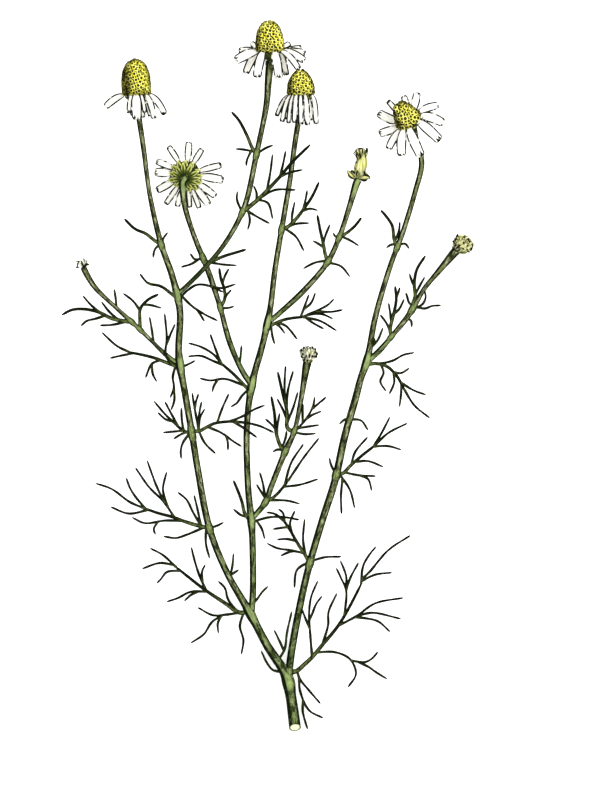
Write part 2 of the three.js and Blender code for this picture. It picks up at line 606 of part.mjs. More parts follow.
// A regular outline with its corners on a circle of radius SLIM.
function slimSection(sides) {
  const corners = [];
  for (let i = 0; i < sides; i++) {
    const angle = (2 * Math.PI * i) / sides;
    corners.push(new THREE.Vector2(SLIM * Math.cos(angle), SLIM * Math.sin(angle)));
  }
  return new THREE.Shape(corners);
}

// A section swept along a curve, then widened at each station to the radius wanted there.
function sweep(section, curve, steps, radiusAt) {
  const geometry = new THREE.ExtrudeGeometry(section, { steps, extrudePath: curve, bevelEnabled: false });
  const stations = curve.getSpacedPoints(steps);
  const position = geometry.attributes.position;
  const corner = new THREE.Vector3();
  for (let i = 0; i < position.count; i++) {
    corner.fromBufferAttribute(position, i);
    const distances = stations.map((station) => station.distanceTo(corner));
    const nearest = distances.indexOf(Math.min(...distances));
    corner.sub(stations[nearest]).multiplyScalar(radiusAt(nearest / steps) / SLIM);
    corner.add(stations[nearest]);
    position.setXYZ(i, corner.x, corner.y, corner.z);
  }
  return solidOf(geometry);
}

// Points along the straight stretches between a curve's stations.
function alongStations(curve, steps) {
  const stations = curve.getSpacedPoints(steps);
  const points = [stations[0]];
  for (let i = 1; i < stations.length; i++) {
    for (const share of [0.25, 0.5, 0.75, 1]) {
      points.push(stations[i - 1].clone().lerp(stations[i], share));
    }
  }
  return points;
}

function tube(curve, sides, steps, first, last) {
  return sweep(slimSection(sides), curve, steps, (share) => first + (last - first) * share);
}

// ---- Stems ----

const stemSteps = (curve) => Math.round(curve.getLength() / STEM_STEP);

function neckEnd(flower) {
  const facing = new THREE.Vector3(...flower.facing).normalize();
  return at(flower.foot).addScaledVector(facing, -NECK_LENGTH - SEAT_GAP);
}

function budEnd(bud) {
  const foot = at(bud.foot);
  return foot.clone().addScaledVector(at(bud.top).sub(foot).normalize(), -2 * SEAT_GAP);
}

function stemCurve(name) {
  const points = STEMS[name].route.map(at);
  const flower = Object.values(FLOWERS).find((head) => head.stem === name);
  const bud = Object.values(BUDS).find((head) => head.stem === name);
  points.push(flower ? neckEnd(flower) : budEnd(bud));
  return new THREE.CatmullRomCurve3(points);
}

const stemCurves = Object.fromEntries(Object.keys(STEMS).map((name) => [name, stemCurve(name)]));

function stemTube(name, extra = 0) {
  const [first, last] = STEMS[name].radius;
  const curve = stemCurves[name];
  return tube(curve, STEM_SIDES, stemSteps(curve), first + extra, last + extra);
}

// A stem with the clear space that a piece seated on it keeps.
const stemRooms = Object.fromEntries(
  Object.keys(STEMS).map((name) => [name, stemTube(name, SEAT_GAP + FACET_ROOM)]),
);

// The point of a stem's middle line nearest to a place on the sheet, with its direction and radius.
function onStem(name, [x, y]) {
  const place = at([x, y]);
  const curve = stemCurves[name];
  let best = { distance: Infinity };
  for (let i = 0; i <= STEM_SAMPLES; i++) {
    const point = curve.getPoint(i / STEM_SAMPLES);
    const distance = Math.hypot(point.x - place.x, point.y - place.y);
    if (distance < best.distance) best = { distance, point, share: i / STEM_SAMPLES };
  }
  const [first, last] = STEMS[name].radius;
  const radius = first + (last - first) * best.share;
  return { point: best.point, direction: curve.getTangent(best.share), radius };
}

// A route with heights: it starts at `root` and climbs evenly to its tip.
function climbing(root, places, tipHeight) {
  const points = [root, ...places.map(at)];
  const lengths = [0];
  for (let i = 1; i < points.length; i++) {
    const run = Math.hypot(points[i].x - points[i - 1].x, points[i].y - points[i - 1].y);
    lengths.push(lengths[i - 1] + run);
  }
  const whole = lengths[lengths.length - 1];
  points.forEach((point, i) => {
    if (i > 0) point.z = root.z + (tipHeight - root.z) * (lengths[i] / whole);
  });
  return new THREE.CatmullRomCurve3(points);
}

function nearestOf(samples, place) {
  const target = at(place);
  const distance = (point) => Math.hypot(point.x - target.x, point.y - target.y);
  return samples.reduce((best, point) => (distance(point) < distance(best) ? point : best));
}

// Lobes or twigs that grow from a line of points: each starts at the nearest point already there.
function lobesOn(samples, lobes) {
  const solids = [];
  lobes.forEach((places, i) => {
    const root = nearestOf(samples, places[0]);
    const tip = places[places.length - 1];
    const side = i % 2 === 0 ? 1 : -1;
    const reach = Math.hypot(at(tip).x - root.x, at(tip).y - root.y);
    const tipHeight = tip[2] ?? Math.max(LOWEST_TIP, root.z + side * LOBE_SPREAD * reach);
    const curve = climbing(root.clone(), places.slice(1), tipHeight);
    const steps = Math.min(MOST_LOBE_STEPS, Math.ceil(reach / LOBE_STEP));
    samples.push(...alongStations(curve, steps));
    solids.push(tube(curve, LOBE_SIDES, steps, LOBE_RADIUS.root, LOBE_RADIUS.tip));
  });
  return solids;
}

function stem(name) {
  const { twigs = [], from } = STEMS[name];
  const samples = alongStations(stemCurves[name], stemSteps(stemCurves[name]));
  const whole = joined([stemTube(name), ...lobesOn(samples, twigs)]);
  return from ? whole.subtract(stemRooms[from]) : whole;
}

// ---- Leaves ----

function leaf({ at: place, stems, rise, rib, lobes }) {
  const { point: hub, direction, radius } = onStem(stems[0], place);
  const ribCurve = climbing(hub.clone(), rib, Math.max(LOWEST_TIP, hub.z + rise));
  const ribSolid = tube(ribCurve, LOBE_SIDES, RIB_STEPS, RACHIS_RADIUS.root, RACHIS_RADIUS.tip);
  const half = direction.clone().multiplyScalar(CLASP_LENGTH / 2);
  const claspCurve = new THREE.LineCurve3(hub.clone().sub(half), hub.clone().add(half));
  const claspRadius = radius + SEAT_GAP + CLASP_WALL;
  const clasp = tube(claspCurve, CLASP_SIDES, 1, claspRadius, claspRadius);
  const samples = alongStations(ribCurve, RIB_STEPS);
  const whole = joined([ribSolid, clasp, ...lobesOn(samples, lobes)]);
  return stems.reduce((cut, name) => cut.subtract(stemRooms[name]), whole);
}

// ---- Flower heads, upright on their foot: each faces +Z ----

// A profile of [radius, height] points turned round the Z axis.
function turned(points) {
  const profile = points.map(([radius, height]) => new THREE.Vector2(radius, height));
  return solidOf(new THREE.LatheGeometry(profile, HEAD_SIDES).rotateX(Math.PI / 2));
}

// A hollow cone, open below, with the flared involucre at its foot.
function receptacle(height) {
  const top = CONE_SHARE * height;
  return turned([
    [0, 0.72 * top], [0.62, 0.3 * top], [0.85, -0.2], [0.5, -NECK_LENGTH],
    [1.15, -NECK_LENGTH], [1.6, -1.35], [2.6, -0.7], [3.3, -0.25], [3.25, 0.05],
    [2, -0.15], [1.6, 0.3], [1.25, 0.45 * top], [0, top],
  ]);
}

// The dome of tubular florets, which stand on the cone.
function discFlorets(height, dome) {
  const cone = CONE_SHARE * height + SEAT_GAP + 0.1;
  return turned([
    [0, cone], [1.65, 0.45 * cone], [2.05, 0.85], [3.6, 0.95],
    ...dome.map(([radius, share]) => [radius, share * height]), [0, height],
  ]);
}

// The ring of strap-shaped florets: each leaves the rim and bends to its tip.
function rayFlorets(tips, widths) {
  const collar = turned([[2.5, 0.25], [3.9, 0.33], [3.9, 0.6], [2.5, 0.52], [2.5, 0.25]]);
  const strapOf = (width) => {
    const [w, t] = [(SLIM * width) / 2, (SLIM * RAY_THICKNESS) / 2];
    const corners = [[-w, -t], [w, -t], [w, t], [-w, t]];
    return new THREE.Shape(corners.map(([x, y]) => new THREE.Vector2(x, y)));
  };
  const widthAt = (share) => 0.5 + 0.6 * Math.sin(2.6 * share);
  const rays = tips.map((tip, i) => {
    const out = Math.hypot(tip.x, tip.y);
    const reach = Math.max(out - RIM_RADIUS, widths[i]);
    const root = new THREE.Vector3(RAY_ROOT.radius, 0, RAY_ROOT.height);
    const bend = new THREE.Vector3(RIM_RADIUS + STRAIGHT_SHARE * reach, 0, root.z + 0.1 * tip.z);
    const curve = new THREE.QuadraticBezierCurve3(root, bend, new THREE.Vector3(out, 0, tip.z));
    return sweep(strapOf(widths[i]), curve, RAY_STEPS, widthAt)
      .rotate([0, 0, THREE.MathUtils.radToDeg(Math.atan2(tip.y, tip.x))]);
  });
  return joined([collar, ...rays]);
}

// ---- Buds ----

function bud({ foot, top, radius, outline, bracts }) {
  const [low, high] = [at(foot), at(top)];
  const length = low.distanceTo(high);
  const profile = [[0, 0], ...outline.map(([share, width]) => [width * radius, share * length]), [0, length]];
  const turn = new THREE.Quaternion().setFromUnitVectors(
    new THREE.Vector3(0, 0, 1), high.clone().sub(low).normalize());
  const place = new THREE.Matrix4().compose(low, turn, new THREE.Vector3(1, 1, 1));
  const body = turned(profile).transform(place.elements);
  const samples = new THREE.LineCurve3(low, high).getSpacedPoints(BUD_STEPS);
  return joined([body, ...lobesOn(samples, bracts)]);
}

// ---- Assembly ----

function piece(name, solid, color, roughness) {
  const material = new THREE.MeshStandardMaterial({ color, roughness, metalness: 0 });
  const mesh = new THREE.Mesh(geometryOf(solid), material);
  mesh.name = name;
  return mesh;
}

function flowerHead(name, { foot, facing, height, dome, rays }) {
  const head = new THREE.Group();
  head.position.copy(at(foot));
  head.quaternion.setFromUnitVectors(new THREE.Vector3(0, 0, 1), new THREE.Vector3(...facing).normalize());
  head.updateMatrixWorld(true);
  const tips = rays.map((tip) => head.worldToLocal(at(tip)));
  const widths = rays.map((tip) => tip[3]);
  head.add(piece(`${name}_receptacle`, receptacle(height), BRACT_GREEN, 0.7));
  head.add(piece(`${name}_disc_florets`, discFlorets(height, dome), DISC_YELLOW, 0.8));
  head.add(piece(`${name}_ray_florets`, rayFlorets(tips, widths), RAY_WHITE, 0.6));
  return head;
}

const sprig = new THREE.Group();
for (const name of Object.keys(STEMS)) sprig.add(piece(name, stem(name), STEM_GREEN, 0.65));
for (const [name, data] of Object.entries(LEAVES)) sprig.add(piece(name, leaf(data), LEAF_GREEN, 0.7));
for (const [name, data] of Object.entries(FLOWERS)) sprig.add(flowerHead(name, data));
for (const [name, data] of Object.entries(BUDS)) sprig.add(piece(name, bud(data), BUD_CREAM, 0.7));

export default sprig;
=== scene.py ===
"""A cut, flowering sprig of chamomile, lying on a pale surface.

Each piece stands in the place of one solid of the loaded frame. Routes are written on a layout
sheet, as a pressed sprig is laid out on paper: x runs to the right and y down from the sheet's
top left corner, both in steps of the sheet, and a third number, where there is one, is the
height over the surface in millimetres.
"""

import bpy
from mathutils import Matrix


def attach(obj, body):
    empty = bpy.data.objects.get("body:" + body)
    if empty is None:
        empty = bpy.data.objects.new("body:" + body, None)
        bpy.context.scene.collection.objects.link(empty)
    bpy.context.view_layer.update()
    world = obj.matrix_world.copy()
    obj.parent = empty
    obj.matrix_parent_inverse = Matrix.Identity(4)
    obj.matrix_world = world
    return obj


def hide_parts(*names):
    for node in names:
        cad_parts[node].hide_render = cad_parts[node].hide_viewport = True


bl_info = {
    "name": "Chamomile Sprig",
    "version": (1, 0, 0),
    "blender": (4, 5, 0),
    "location": "View3D > Sidebar > Sprig",
    "description": "Grows the stems, leaves, flower heads and buds of a cut chamomile sprig",
    "category": "Add Mesh",
}

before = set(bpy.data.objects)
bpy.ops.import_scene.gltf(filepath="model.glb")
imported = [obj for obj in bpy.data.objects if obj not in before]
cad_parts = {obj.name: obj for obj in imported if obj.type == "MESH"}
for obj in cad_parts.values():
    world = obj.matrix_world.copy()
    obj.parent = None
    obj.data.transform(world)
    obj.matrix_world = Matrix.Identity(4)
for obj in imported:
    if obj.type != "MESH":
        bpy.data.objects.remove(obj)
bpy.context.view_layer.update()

import math
import random

import bpy
import numpy as np
from bpy.props import FloatProperty, FloatVectorProperty, PointerProperty
from bpy.types import Operator, Panel, PropertyGroup
from mathutils import Vector

# ---- The layout sheet ----

MM = 0.001
STEP = 0.3 * MM  # real length of one step of the sheet
SHEET_MIDDLE = (268, 376)  # the place on the sheet over the frame's origin

# ---- Stems ----
# Radii at even steps and the route of the middle line, both from foot to top. `from` names the stem
# that a branch grows out of, and `twigs` are the routes of small threads along it. `dark_foot` and
# `pale_top` say how dark its foot and how pale its top are, from 0 to 1.

STEMS = {
    "stem_a": {
        "radius": [1.95, 1.44, 1.12, 1.15, 1.12, 1.18, 1.08, 0.76, 1.0],
        "route": [[295, 727, 1.95], [291, 697, 2], [286.5, 676, 2.2], [267, 645, 2.8], [249, 611, 3.4],
          [227.5, 573.5, 4], [209.5, 528, 4.5], [198, 470, 5], [192, 433, 5.2], [185.5, 395, 5.5],
          [179, 355, 5.8], [180, 310, 6.3], [172, 275, 6.7], [161.5, 245, 7], [150, 195, 7.6],
          [144, 150, 8.2]],
        "twigs": [[[284, 673], [273, 670], [267, 663], [261.5, 651.5, 0.9]], [[231, 577], [232.5, 565],
          [233.5, 554, 7]],
          [[281, 660], [284.5, 649], [287, 632], [291.5, 612, 5.5]], [[231, 575], [238, 570, 6.5]],
          [[284, 651], [280, 642], [274.5, 630.5, 5]]],
    },
    "stem_d": {
        "from": "stem_a",
        "radius": [1.26, 1.21, 1.2, 1.26, 1.24, 1.02, 0.9, 0.88, 1.05],
        "route": [[288, 682, 2.1], [291, 655, 2.6], [299, 610, 3], [308.5, 568, 3.5], [323, 518, 4.1],
          [334.5, 482, 4.6], [345, 435, 5], [355, 400, 5.4], [360.5, 379, 5.6], [367, 360, 5.8],
          [375, 318, 6], [390.5, 265, 6], [402.5, 233, 6], [415, 192, 5.4], [421.5, 165, 4.6],
            [419.5, 150, 3.9], [415.5, 138.5, 4.1]],
        "twigs": [[[373, 350], [377, 341], [382.5, 328.5, 8]], [[375, 346], [374.5, 342],
          [373.5, 338, 8.8]],
          [[353, 420], [361, 420.5], [367.5, 429.5, 3]], [[350, 420.5], [345, 419.5], [340, 423.5, 8]]],
    },
    "stem_c": {
        "from": "stem_a",
        "radius": [1.08, 1.1, 1.08, 1.07, 1.12, 0.98, 0.94, 0.88, 0.97],
        "route": [[251.5, 613, 3.4], [253, 590, 3.6], [252, 530, 4.2], [248, 485, 4.6], [247, 425, 5],
          [252, 384, 5.4], [263, 343, 5.9], [270, 310, 6.2], [275, 270, 6.7], [285, 210, 7.3],
          [290, 180, 7.6], [295, 143, 7.9]],
        "twigs": [[[253, 603], [257, 599], [262, 592], [267.5, 586.5, 6]]],
    },
    "stem_b": {
        "from": "stem_a",
        "dark_foot": 0.62,
        "radius": [0.78, 0.78, 0.78, 0.88, 0.97, 0.95, 0.9, 1.07, 1.4],
        "route": [[176, 296, 6.3], [187, 286, 7.4], [205, 268, 9.2], [222, 248, 9.6], [237, 224, 9.4],
          [246, 203, 9.2], [256.5, 155, 9], [266.5, 105, 9], [268.5, 80, 9]],
    },
    "stem_e": {
        "from": "stem_c",
        "pale_top": 1,
        "radius": [1.0, 0.92, 0.98, 0.85, 0.97, 0.94, 0.85, 0.98, 1.25],
        "route": [[252.3, 386, 5.4], [242.3, 371, 5.5], [230, 343, 5.6], [219, 303, 5.8],
          [206.3, 266, 6.1],
          [194.5, 237, 7.6], [185.4, 208, 9.6], [183.2, 193, 10.4], [182.6, 185, 9.9]],
        "twigs": [[[241, 365], [240.5, 357], [241.5, 346.5, 7.5]]],
    },
    "stem_f": {
        "from": "stem_c",
        "pale_top": 0.6,
        "radius": [0.85, 0.9, 1.0, 0.93, 0.92, 0.88, 0.86, 1, 1.35],
        "route": [[267.3, 323.5, 6], [282, 311, 6.4], [304.5, 290, 6.8], [327.5, 262.5, 7],
          [339, 238, 7],
          [349, 208, 7], [357, 182, 7]],
    },
    "stem_g": {
        "from": "stem_d",
        "radius": [0.88, 0.98, 0.78, 0.95, 1.02, 0.8, 0.85, 1.15, 1.5],
        "route": [[367, 362, 5.8], [380, 350, 6.1], [391, 337, 6.2], [408, 316, 5.8], [424, 289, 5],
          [438, 272, 4.2], [454, 253, 3.2]],
        "twigs": [[[407, 318], [411, 321], [411.5, 326.5, 3]]],
    },
    "stem_h": {
        "from": "stem_c",
        "radius": [0.85, 1.0, 0.96, 0.98, 1.05, 0.75, 0.82, 1.02, 1.45],
        "route": [[251, 520, 4.2], [265.5, 502, 4.6], [271, 487, 4.9], [285, 452, 5.2], [294, 432, 5.4],
          [300, 405, 5.7], [306.5, 366, 6]],
    },
    "stem_i": {
        "from": "stem_a",
        "radius": [0.9, 0.82, 0.64, 0.72, 0.78, 0.68, 0.74, 0.93, 1.05],
        "route": [[181, 365, 5.8], [171, 359, 5.6], [148.7, 338, 5], [138.5, 328, 4.7], [116.5, 308, 4],
          [94.4, 286.5, 3], [84.3, 269, 2.3]],
        "twigs": [[[117, 307], [116, 300], [114.5, 290, 6]], [[155, 343], [152, 330], [150, 318, 7.5]]],
    },
}

# ---- Leaves ----
# The place and the stem a leaf clasps, how far its rib climbs, and the routes of its rib and lobes.
# A lobe starts at the nearest thread so far, and its last spot may hold a height for its tip.

LEAVES = {
    "leaf_a1": {
        "at": [290, 672], "stem": "stem_d", "rise": 2.5,
        "rib": [[297, 670.5], [304, 664.5], [312, 657], [322, 645], [337, 627], [347, 611], [358, 590],
          [361, 584]],
        "lobes": [
          [[312, 656], [310, 632], [309, 614], [311, 597], [317.5, 581]],
          [[309.5, 620], [312, 614], [316, 604], [321.5, 596.5]],
          [[307, 628], [304.5, 616], [302, 609]],
          [[321, 645], [328, 625], [328.5, 612], [336.5, 594]],
          [[343, 615], [346, 590], [341, 578], [336.5, 568.5]],
          [[346, 590], [346, 576], [340.5, 561]],
          [[348, 590], [350, 578], [358, 563]],
          [[361, 584], [363, 566], [369, 555], [375.5, 547]],
          [[362, 580], [369, 572], [388, 550], [409.5, 535.5]],
          [[364, 581], [375, 574.5], [391, 572.5]],
          [[339, 627], [356, 616], [375, 603], [402.5, 597.5]],
          [[356, 616], [372, 612.5], [400, 618.5]],
          [[354, 617], [366, 618], [378, 621], [389.5, 631]],
          [[318, 653], [335, 652], [350, 659], [356, 674], [348.5, 686.5]],
          [[352, 660], [364, 662], [371, 659], [377.5, 652]],
          [[358, 662], [369, 667], [376, 672], [386.5, 678.5]],
          [[298, 672], [300, 679], [308, 689], [320, 703, 0.8]],
          [[299, 677], [300, 690], [309, 710], [322.5, 717.5, 0.8]],
          [[302, 700], [303, 712], [307.5, 728.5, 0.8]],
        ],
    },
    "leaf_a2": {
        "at": [249, 612], "stem": "stem_a", "rise": -1,
        "rib": [[240, 612.5], [225, 603], [209, 592.5], [200, 586], [186, 575], [176, 567]],
        "lobes": [
          [[176, 567], [163, 555], [151, 548.5]],
          [[174, 565.5], [160, 563], [143, 568.5]],
          [[180, 571.5], [167, 572], [161, 579], [157.5, 582.5]],
          [[206, 590], [200, 577], [195, 562], [191.5, 548]],
          [[203, 583], [202, 572], [205, 565]],
          [[207, 591], [190, 592], [178, 598], [167.5, 601.5]],
          [[198, 591.5], [191, 595], [185, 600.5, 0.6]],
          [[238, 611], [228, 599], [225, 588], [219, 581.5, 6.8]],
          [[240, 613.5], [226, 614.5], [213, 615], [198.5, 607.5]],
          [[223, 615.5], [212, 622], [204, 634], [191.5, 642.5]],
          [[222, 616], [218, 623], [218.5, 632.5]],
          [[243, 614], [240, 626], [243.5, 640], [241.5, 653.5, 0.6]],
        ],
    },
    "leaf_a3": {
        "at": [209, 527.5], "stem": "stem_a", "rise": -1.5,
        "rib": [[200, 526], [185, 521.5], [173, 517], [158, 513], [145, 508.5]],
        "lobes": [
          [[145, 508.5], [130, 502], [112, 489], [96.5, 483.5]],
          [[146, 508.5], [135, 496], [130, 488], [126.5, 478.5]],
          [[148, 510], [129, 513.5], [111.5, 507]],
          [[175, 516], [164, 502], [149, 487], [136, 468.5]],
          [[165, 504], [157, 487], [147.5, 461]],
          [[168, 508], [163, 490], [166.5, 472.5]],
          [[183, 521], [165, 520.5], [145, 523], [133, 517.5]],
          [[159, 521.5], [154, 529], [155.5, 533.5]],
          [[202, 525], [193, 512], [187, 500], [178.5, 492.5]],
          [[203, 524], [198, 511], [194.5, 496, 7]],
          [[204, 529], [186, 535], [176, 538], [164.5, 536.5, 1]],
          [[212, 527], [217, 525.5], [223, 522.5, 6.5]],
          [[206, 531], [206, 543], [209.5, 557.5, 1.2]],
        ],
    },
    "leaf_a4": {
        "at": [191.5, 434.5], "stem": "stem_a", "rise": -0.5,
        "rib": [[186.5, 432], [182, 429.5], [177, 425.5]],
        "lobes": [
          [[177, 425.5], [165, 414], [154.5, 401.5]],
          [[172, 420.5], [166, 419.5], [158.5, 413]],
          [[179, 426], [171, 413], [165.5, 402.5]],
          [[183, 433], [182, 420], [181.5, 408.5, 7.5]],
          [[183, 432], [175, 431.5], [164, 432.5]],
          [[185, 434], [180, 435], [174.5, 438.5]],
          [[187, 437], [183, 443], [181, 450], [181.3, 458, 3]],
        ],
    },
    "leaf_a5": {
        "at": [193, 430], "stem": "stem_a", "rise": 2,
        "rib": [[199, 431], [206, 427.5], [214, 423.5], [228, 421.5], [236, 421.5]],
        "lobes": [
          [[198.5, 427], [196, 415], [194, 404], [192.5, 393.5, 8.8]],
          [[195, 409], [196, 402], [198.5, 394.5, 9.4]],
          [[199, 427], [199.5, 413], [201.5, 402.5, 7.4]],
          [[198, 429], [200, 418], [204.5, 409.5, 5.5]],
          [[217, 423], [222, 409], [228.5, 394.5, 4]],
          [[230, 421.5], [243, 416], [255, 409], [264, 405.5, 9]],
          [[236, 421.5], [248, 423], [260, 426], [273, 432, 9]],
          [[232, 422], [244, 428], [256.5, 437, 8.8]],
          [[209, 428], [222, 433], [233, 441], [241, 446, 3]],
          [[226, 435.5], [228, 443], [228, 449.5, 4]],
          [[199, 432], [205, 443], [215, 453, 2]],
        ],
    },
    "leaf_a6": {
        "at": [181.5, 367], "stem": "stem_a", "rise": -1,
        "rib": [[174, 365.5], [165, 362], [156, 358.5], [145, 355.5], [130, 352.5]],
        "lobes": [
          [[130, 352.5], [117, 346], [102.5, 333, 2]],
          [[133, 353], [120, 356], [111, 358, 1]],
          [[160, 360], [152, 364], [146, 377, 1.5]],
          [[152.5, 364], [153, 374], [156.5, 381, 2.5]],
          [[174, 365], [166, 356], [167, 338], [165, 314.5, 10]],
          [[166.5, 345], [170, 336], [175, 325, 9]],
          [[175, 368], [173, 377], [174, 388], [170.5, 397, 1.5]],
          [[173.5, 388], [174.5, 400], [171.5, 409.5, 3]],
          [[188, 367], [191, 363], [194.5, 361, 7.5]],
        ],
    },
    "leaf_a7": {
        "at": [179.5, 300], "stem": "stem_a", "rise": -2,
        "rib": [[171.5, 294], [161, 286.5], [151, 284.5]],
        "lobes": [
          [[151, 284.5], [147, 282.5], [140.5, 274.5]],
          [[185, 297], [189, 289.5], [197, 285], [206, 285.2], [214, 288], [222.5, 292, 9.4]],
          [[211, 287], [222, 288.2], [235, 284.5, 8.8]],
          [[186, 300], [192, 306], [204, 314], [217, 320.5, 8]],
          [[198, 310], [204, 320.5, 4]],
        ],
    },
    "leaf_a8": {
        "at": [160.5, 245], "stem": "stem_a", "rise": -1,
        "rib": [[155, 241], [146, 234], [135, 229], [125.5, 220]],
        "lobes": [
          [[163, 242], [164, 238], [167.5, 233.5, 9]],
          [[158, 249], [155, 250], [153.5, 257, 5]],
        ],
    },
    "leaf_b1": {
        "at": [243, 212], "stem": "stem_b", "rise": 2,
        "rib": [[247, 209], [258, 200], [268, 190], [281, 176], [292, 163], [309.5, 146]],
        "lobes": [
          [[267, 191], [270, 175], [272.5, 155.5, 8.2]],
          [[280, 177], [283, 165], [285.5, 152.5, 11.5]],
          [[280, 178], [290, 173], [302, 170.5, 11.5]],
          [[259, 199], [275, 190.5], [295, 190.5, 11]],
          [[257, 201], [256.5, 193], [254, 187, 7.5]],
          [[259, 200], [268, 203.5], [272.5, 218.5, 9]],
          [[248, 212], [257, 217], [269, 223.5, 9.6]],
          [[247, 213], [250, 221], [248, 229.5, 7]],
          [[238, 209], [237, 200], [237.5, 192.5, 7.5]],
        ],
    },
    "leaf_b2": {
        "at": [255, 156], "stem": "stem_b", "rise": 0.6,
        "rib": [[252, 148], [247, 136], [239, 121], [232.5, 113.5]],
        "lobes": [
          [[251, 154], [243, 150], [236.5, 149.5, 7]],
          [[259, 154], [265, 149], [272.5, 146, 10]],
          [[249.5, 157], [247, 161], [246.5, 165.5, 7.5]],
        ],
    },
    "leaf_c1": {
        "at": [252, 522], "stem": "stem_c", "rise": 1.2,
        "rib": [[245, 514], [242, 502], [238, 491], [234, 481.5]],
        "lobes": [
          [[245.5, 517], [241, 515], [234, 509.5, 3]],
          [[259, 521.5], [270, 517], [285, 517], [298.5, 519.5, 6.6]],
          [[258, 525], [262, 529], [264.5, 538, 2.4]],
        ],
    },
    "leaf_c2": {
        "at": [251.5, 391], "stem": "stem_c", "rise": -1,
        "rib": [[245, 386], [235, 375.5], [222, 364]],
        "lobes": [
          [[222, 364], [213, 354], [201, 347], [189.5, 343.5, 8.6]],
          [[221, 363], [217, 353], [210.5, 335, 3]],
          [[224, 366], [213, 361], [201, 356], [189, 356.5, 2.8]],
          [[244, 387], [225, 379], [210, 380.5], [200.5, 378.5, 3]],
          [[218, 380], [214, 386], [212.5, 391.5, 4]],
          [[248, 390], [242, 396], [237, 403], [231.5, 406.5, 3.5]],
        ],
    },
    "leaf_c3": {
        "at": [266.8, 327], "stem": "stem_c", "rise": 0.6,
        "rib": [[274, 324], [282, 320.5], [290, 318.5], [303, 317]],
        "lobes": [
          [[300, 317], [304, 308], [308.5, 295.5, 4]],
          [[304, 309], [311, 303], [315, 293.5, 3.5]],
          [[303, 317], [314, 312], [327, 305.5], [333.5, 299.5, 8]],
          [[316, 311.5], [330, 312], [342, 310, 6.5]],
          [[308, 315], [321, 314], [332, 318.5, 5]],
          [[303, 317], [320, 321], [336, 330.5, 7]],
          [[305, 318.5], [313, 323], [323, 328.5, 4]],
          [[276, 321], [286, 326], [297, 339, 4]],
          [[275, 321], [280, 327], [284.5, 333, 7.6]],
          [[272.5, 330], [272.5, 336], [274.5, 343.5, 3.5]],
        ],
    },
    "leaf_c4": {
        "at": [283.5, 230], "stem": "stem_c", "rise": 1,
        "rib": [[288, 227], [297, 218], [306, 206], [312, 197], [318.5, 183.5]],
        "lobes": [
          [[291, 223.5], [292, 216], [294.5, 203, 5]],
          [[303, 210], [305.5, 200], [307, 191.5, 9.5]],
          [[303, 211], [310, 209], [317, 210.5, 6.5]],
          [[288, 228], [297, 224], [308.5, 223.5, 8.6]],
          [[286, 232], [296, 237], [303.5, 250.5, 5.5]],
        ],
    },
    "leaf_d1": {
        "at": [309.5, 562], "stem": "stem_d", "rise": -0.6,
        "rib": [[304, 553], [298, 544], [290, 530], [284, 521]],
        "lobes": [
          [[284, 521], [275, 514], [267.5, 512.5, 1.6]],
          [[284, 521], [283, 513], [279, 509.5, 3.4]],
          [[292, 533], [290, 523], [294.5, 511.5, 1.2]],
          [[288, 527.5], [280, 528], [273.5, 529, 4]],
          [[295, 541], [287, 539], [278, 539.5, 1.4]],
          [[306, 555], [303, 540], [304.5, 519.5, 5]],
          [[302, 554], [289, 550], [277, 548], [267.5, 543.5, 3.6]],
          [[294, 552.5], [288, 552.5], [281.5, 555.5, 1]],
          [[306, 563], [297, 570], [294.5, 587, 0.8]],
          [[313, 560], [325, 557], [340.5, 556.5, 5]],
        ],
    },
    "leaf_d2": {
        "at": [337, 476], "stem": "stem_d", "rise": -1,
        "rib": [[343, 473], [350, 466], [360, 457], [374, 446]],
        "lobes": [
          [[351, 464.5], [355, 452], [367, 437.5]],
          [[374, 446], [382, 432], [389.5, 417.5]],
          [[374, 446], [388, 433], [406.5, 423.5]],
          [[373, 447], [388, 446], [400.5, 449.5]],
          [[355, 462], [368, 461], [382.5, 466.5]],
          [[344, 472], [358, 475], [375, 476]],
          [[359, 475], [368, 479], [371.5, 490]],
          [[341, 478], [350, 490], [354.5, 507.5]],
          [[339, 480], [341, 495], [341.5, 513, 6.5]],
          [[333, 474], [331, 465], [329.5, 458.5, 7]],
        ],
    },
    "leaf_d3": {
        "at": [366.5, 367], "stem": "stem_d", "rise": -1.5,
        "rib": [[374, 363.5], [386, 366], [396, 375], [404, 389]],
        "lobes": [
          [[377, 361.5], [386, 362.5], [394, 360], [403, 355], [413.5, 352.8]],
          [[381.5, 364], [383.5, 373], [380.3, 381.5], [385.5, 390.5]],
          [[393, 373], [394, 383], [389.5, 393.5]],
          [[394, 373], [401, 373], [408.5, 368.5]],
          [[401, 382], [413, 390], [425, 394.5]],
          [[401, 383], [401, 394], [399.5, 406]],
          [[404, 389], [414, 405], [429, 417.5]],
        ],
    },
    "leaf_d4": {
        "at": [397, 247], "stem": "stem_d", "rise": 1,
        "rib": [[394, 240], [392, 226], [387, 218], [381.5, 211.5]],
        "lobes": [
          [[398, 241], [398.5, 232], [399.5, 223, 9]],
          [[394, 246], [391, 245], [387, 247.5, 4]],
          [[401, 244], [405, 244], [408.5, 248.5, 7.5]],
        ],
    },
    "leaf_e1": {
        "at": [221, 308], "stem": "stem_e", "rise": 1,
        "rib": [[225, 298], [224, 288], [221, 279], [219.5, 269.5]],
        "lobes": [
          [[222.5, 284], [225, 276], [228.5, 269.5, 5]],
          [[224, 301], [227, 295], [231, 290.5, 7.4]],
          [[224, 309], [228, 308], [233.5, 306.5, 4]],
        ],
    },
    "leaf_e2": {
        "at": [203, 260], "stem": "stem_e", "rise": -1.4,
        "rib": [[208, 262], [225, 256], [245, 250]],
        "lobes": [
          [[208, 262], [222, 264.5], [236, 265.5, 3.6]],
          [[199, 261], [195, 259.5], [191, 254.5, 9]],
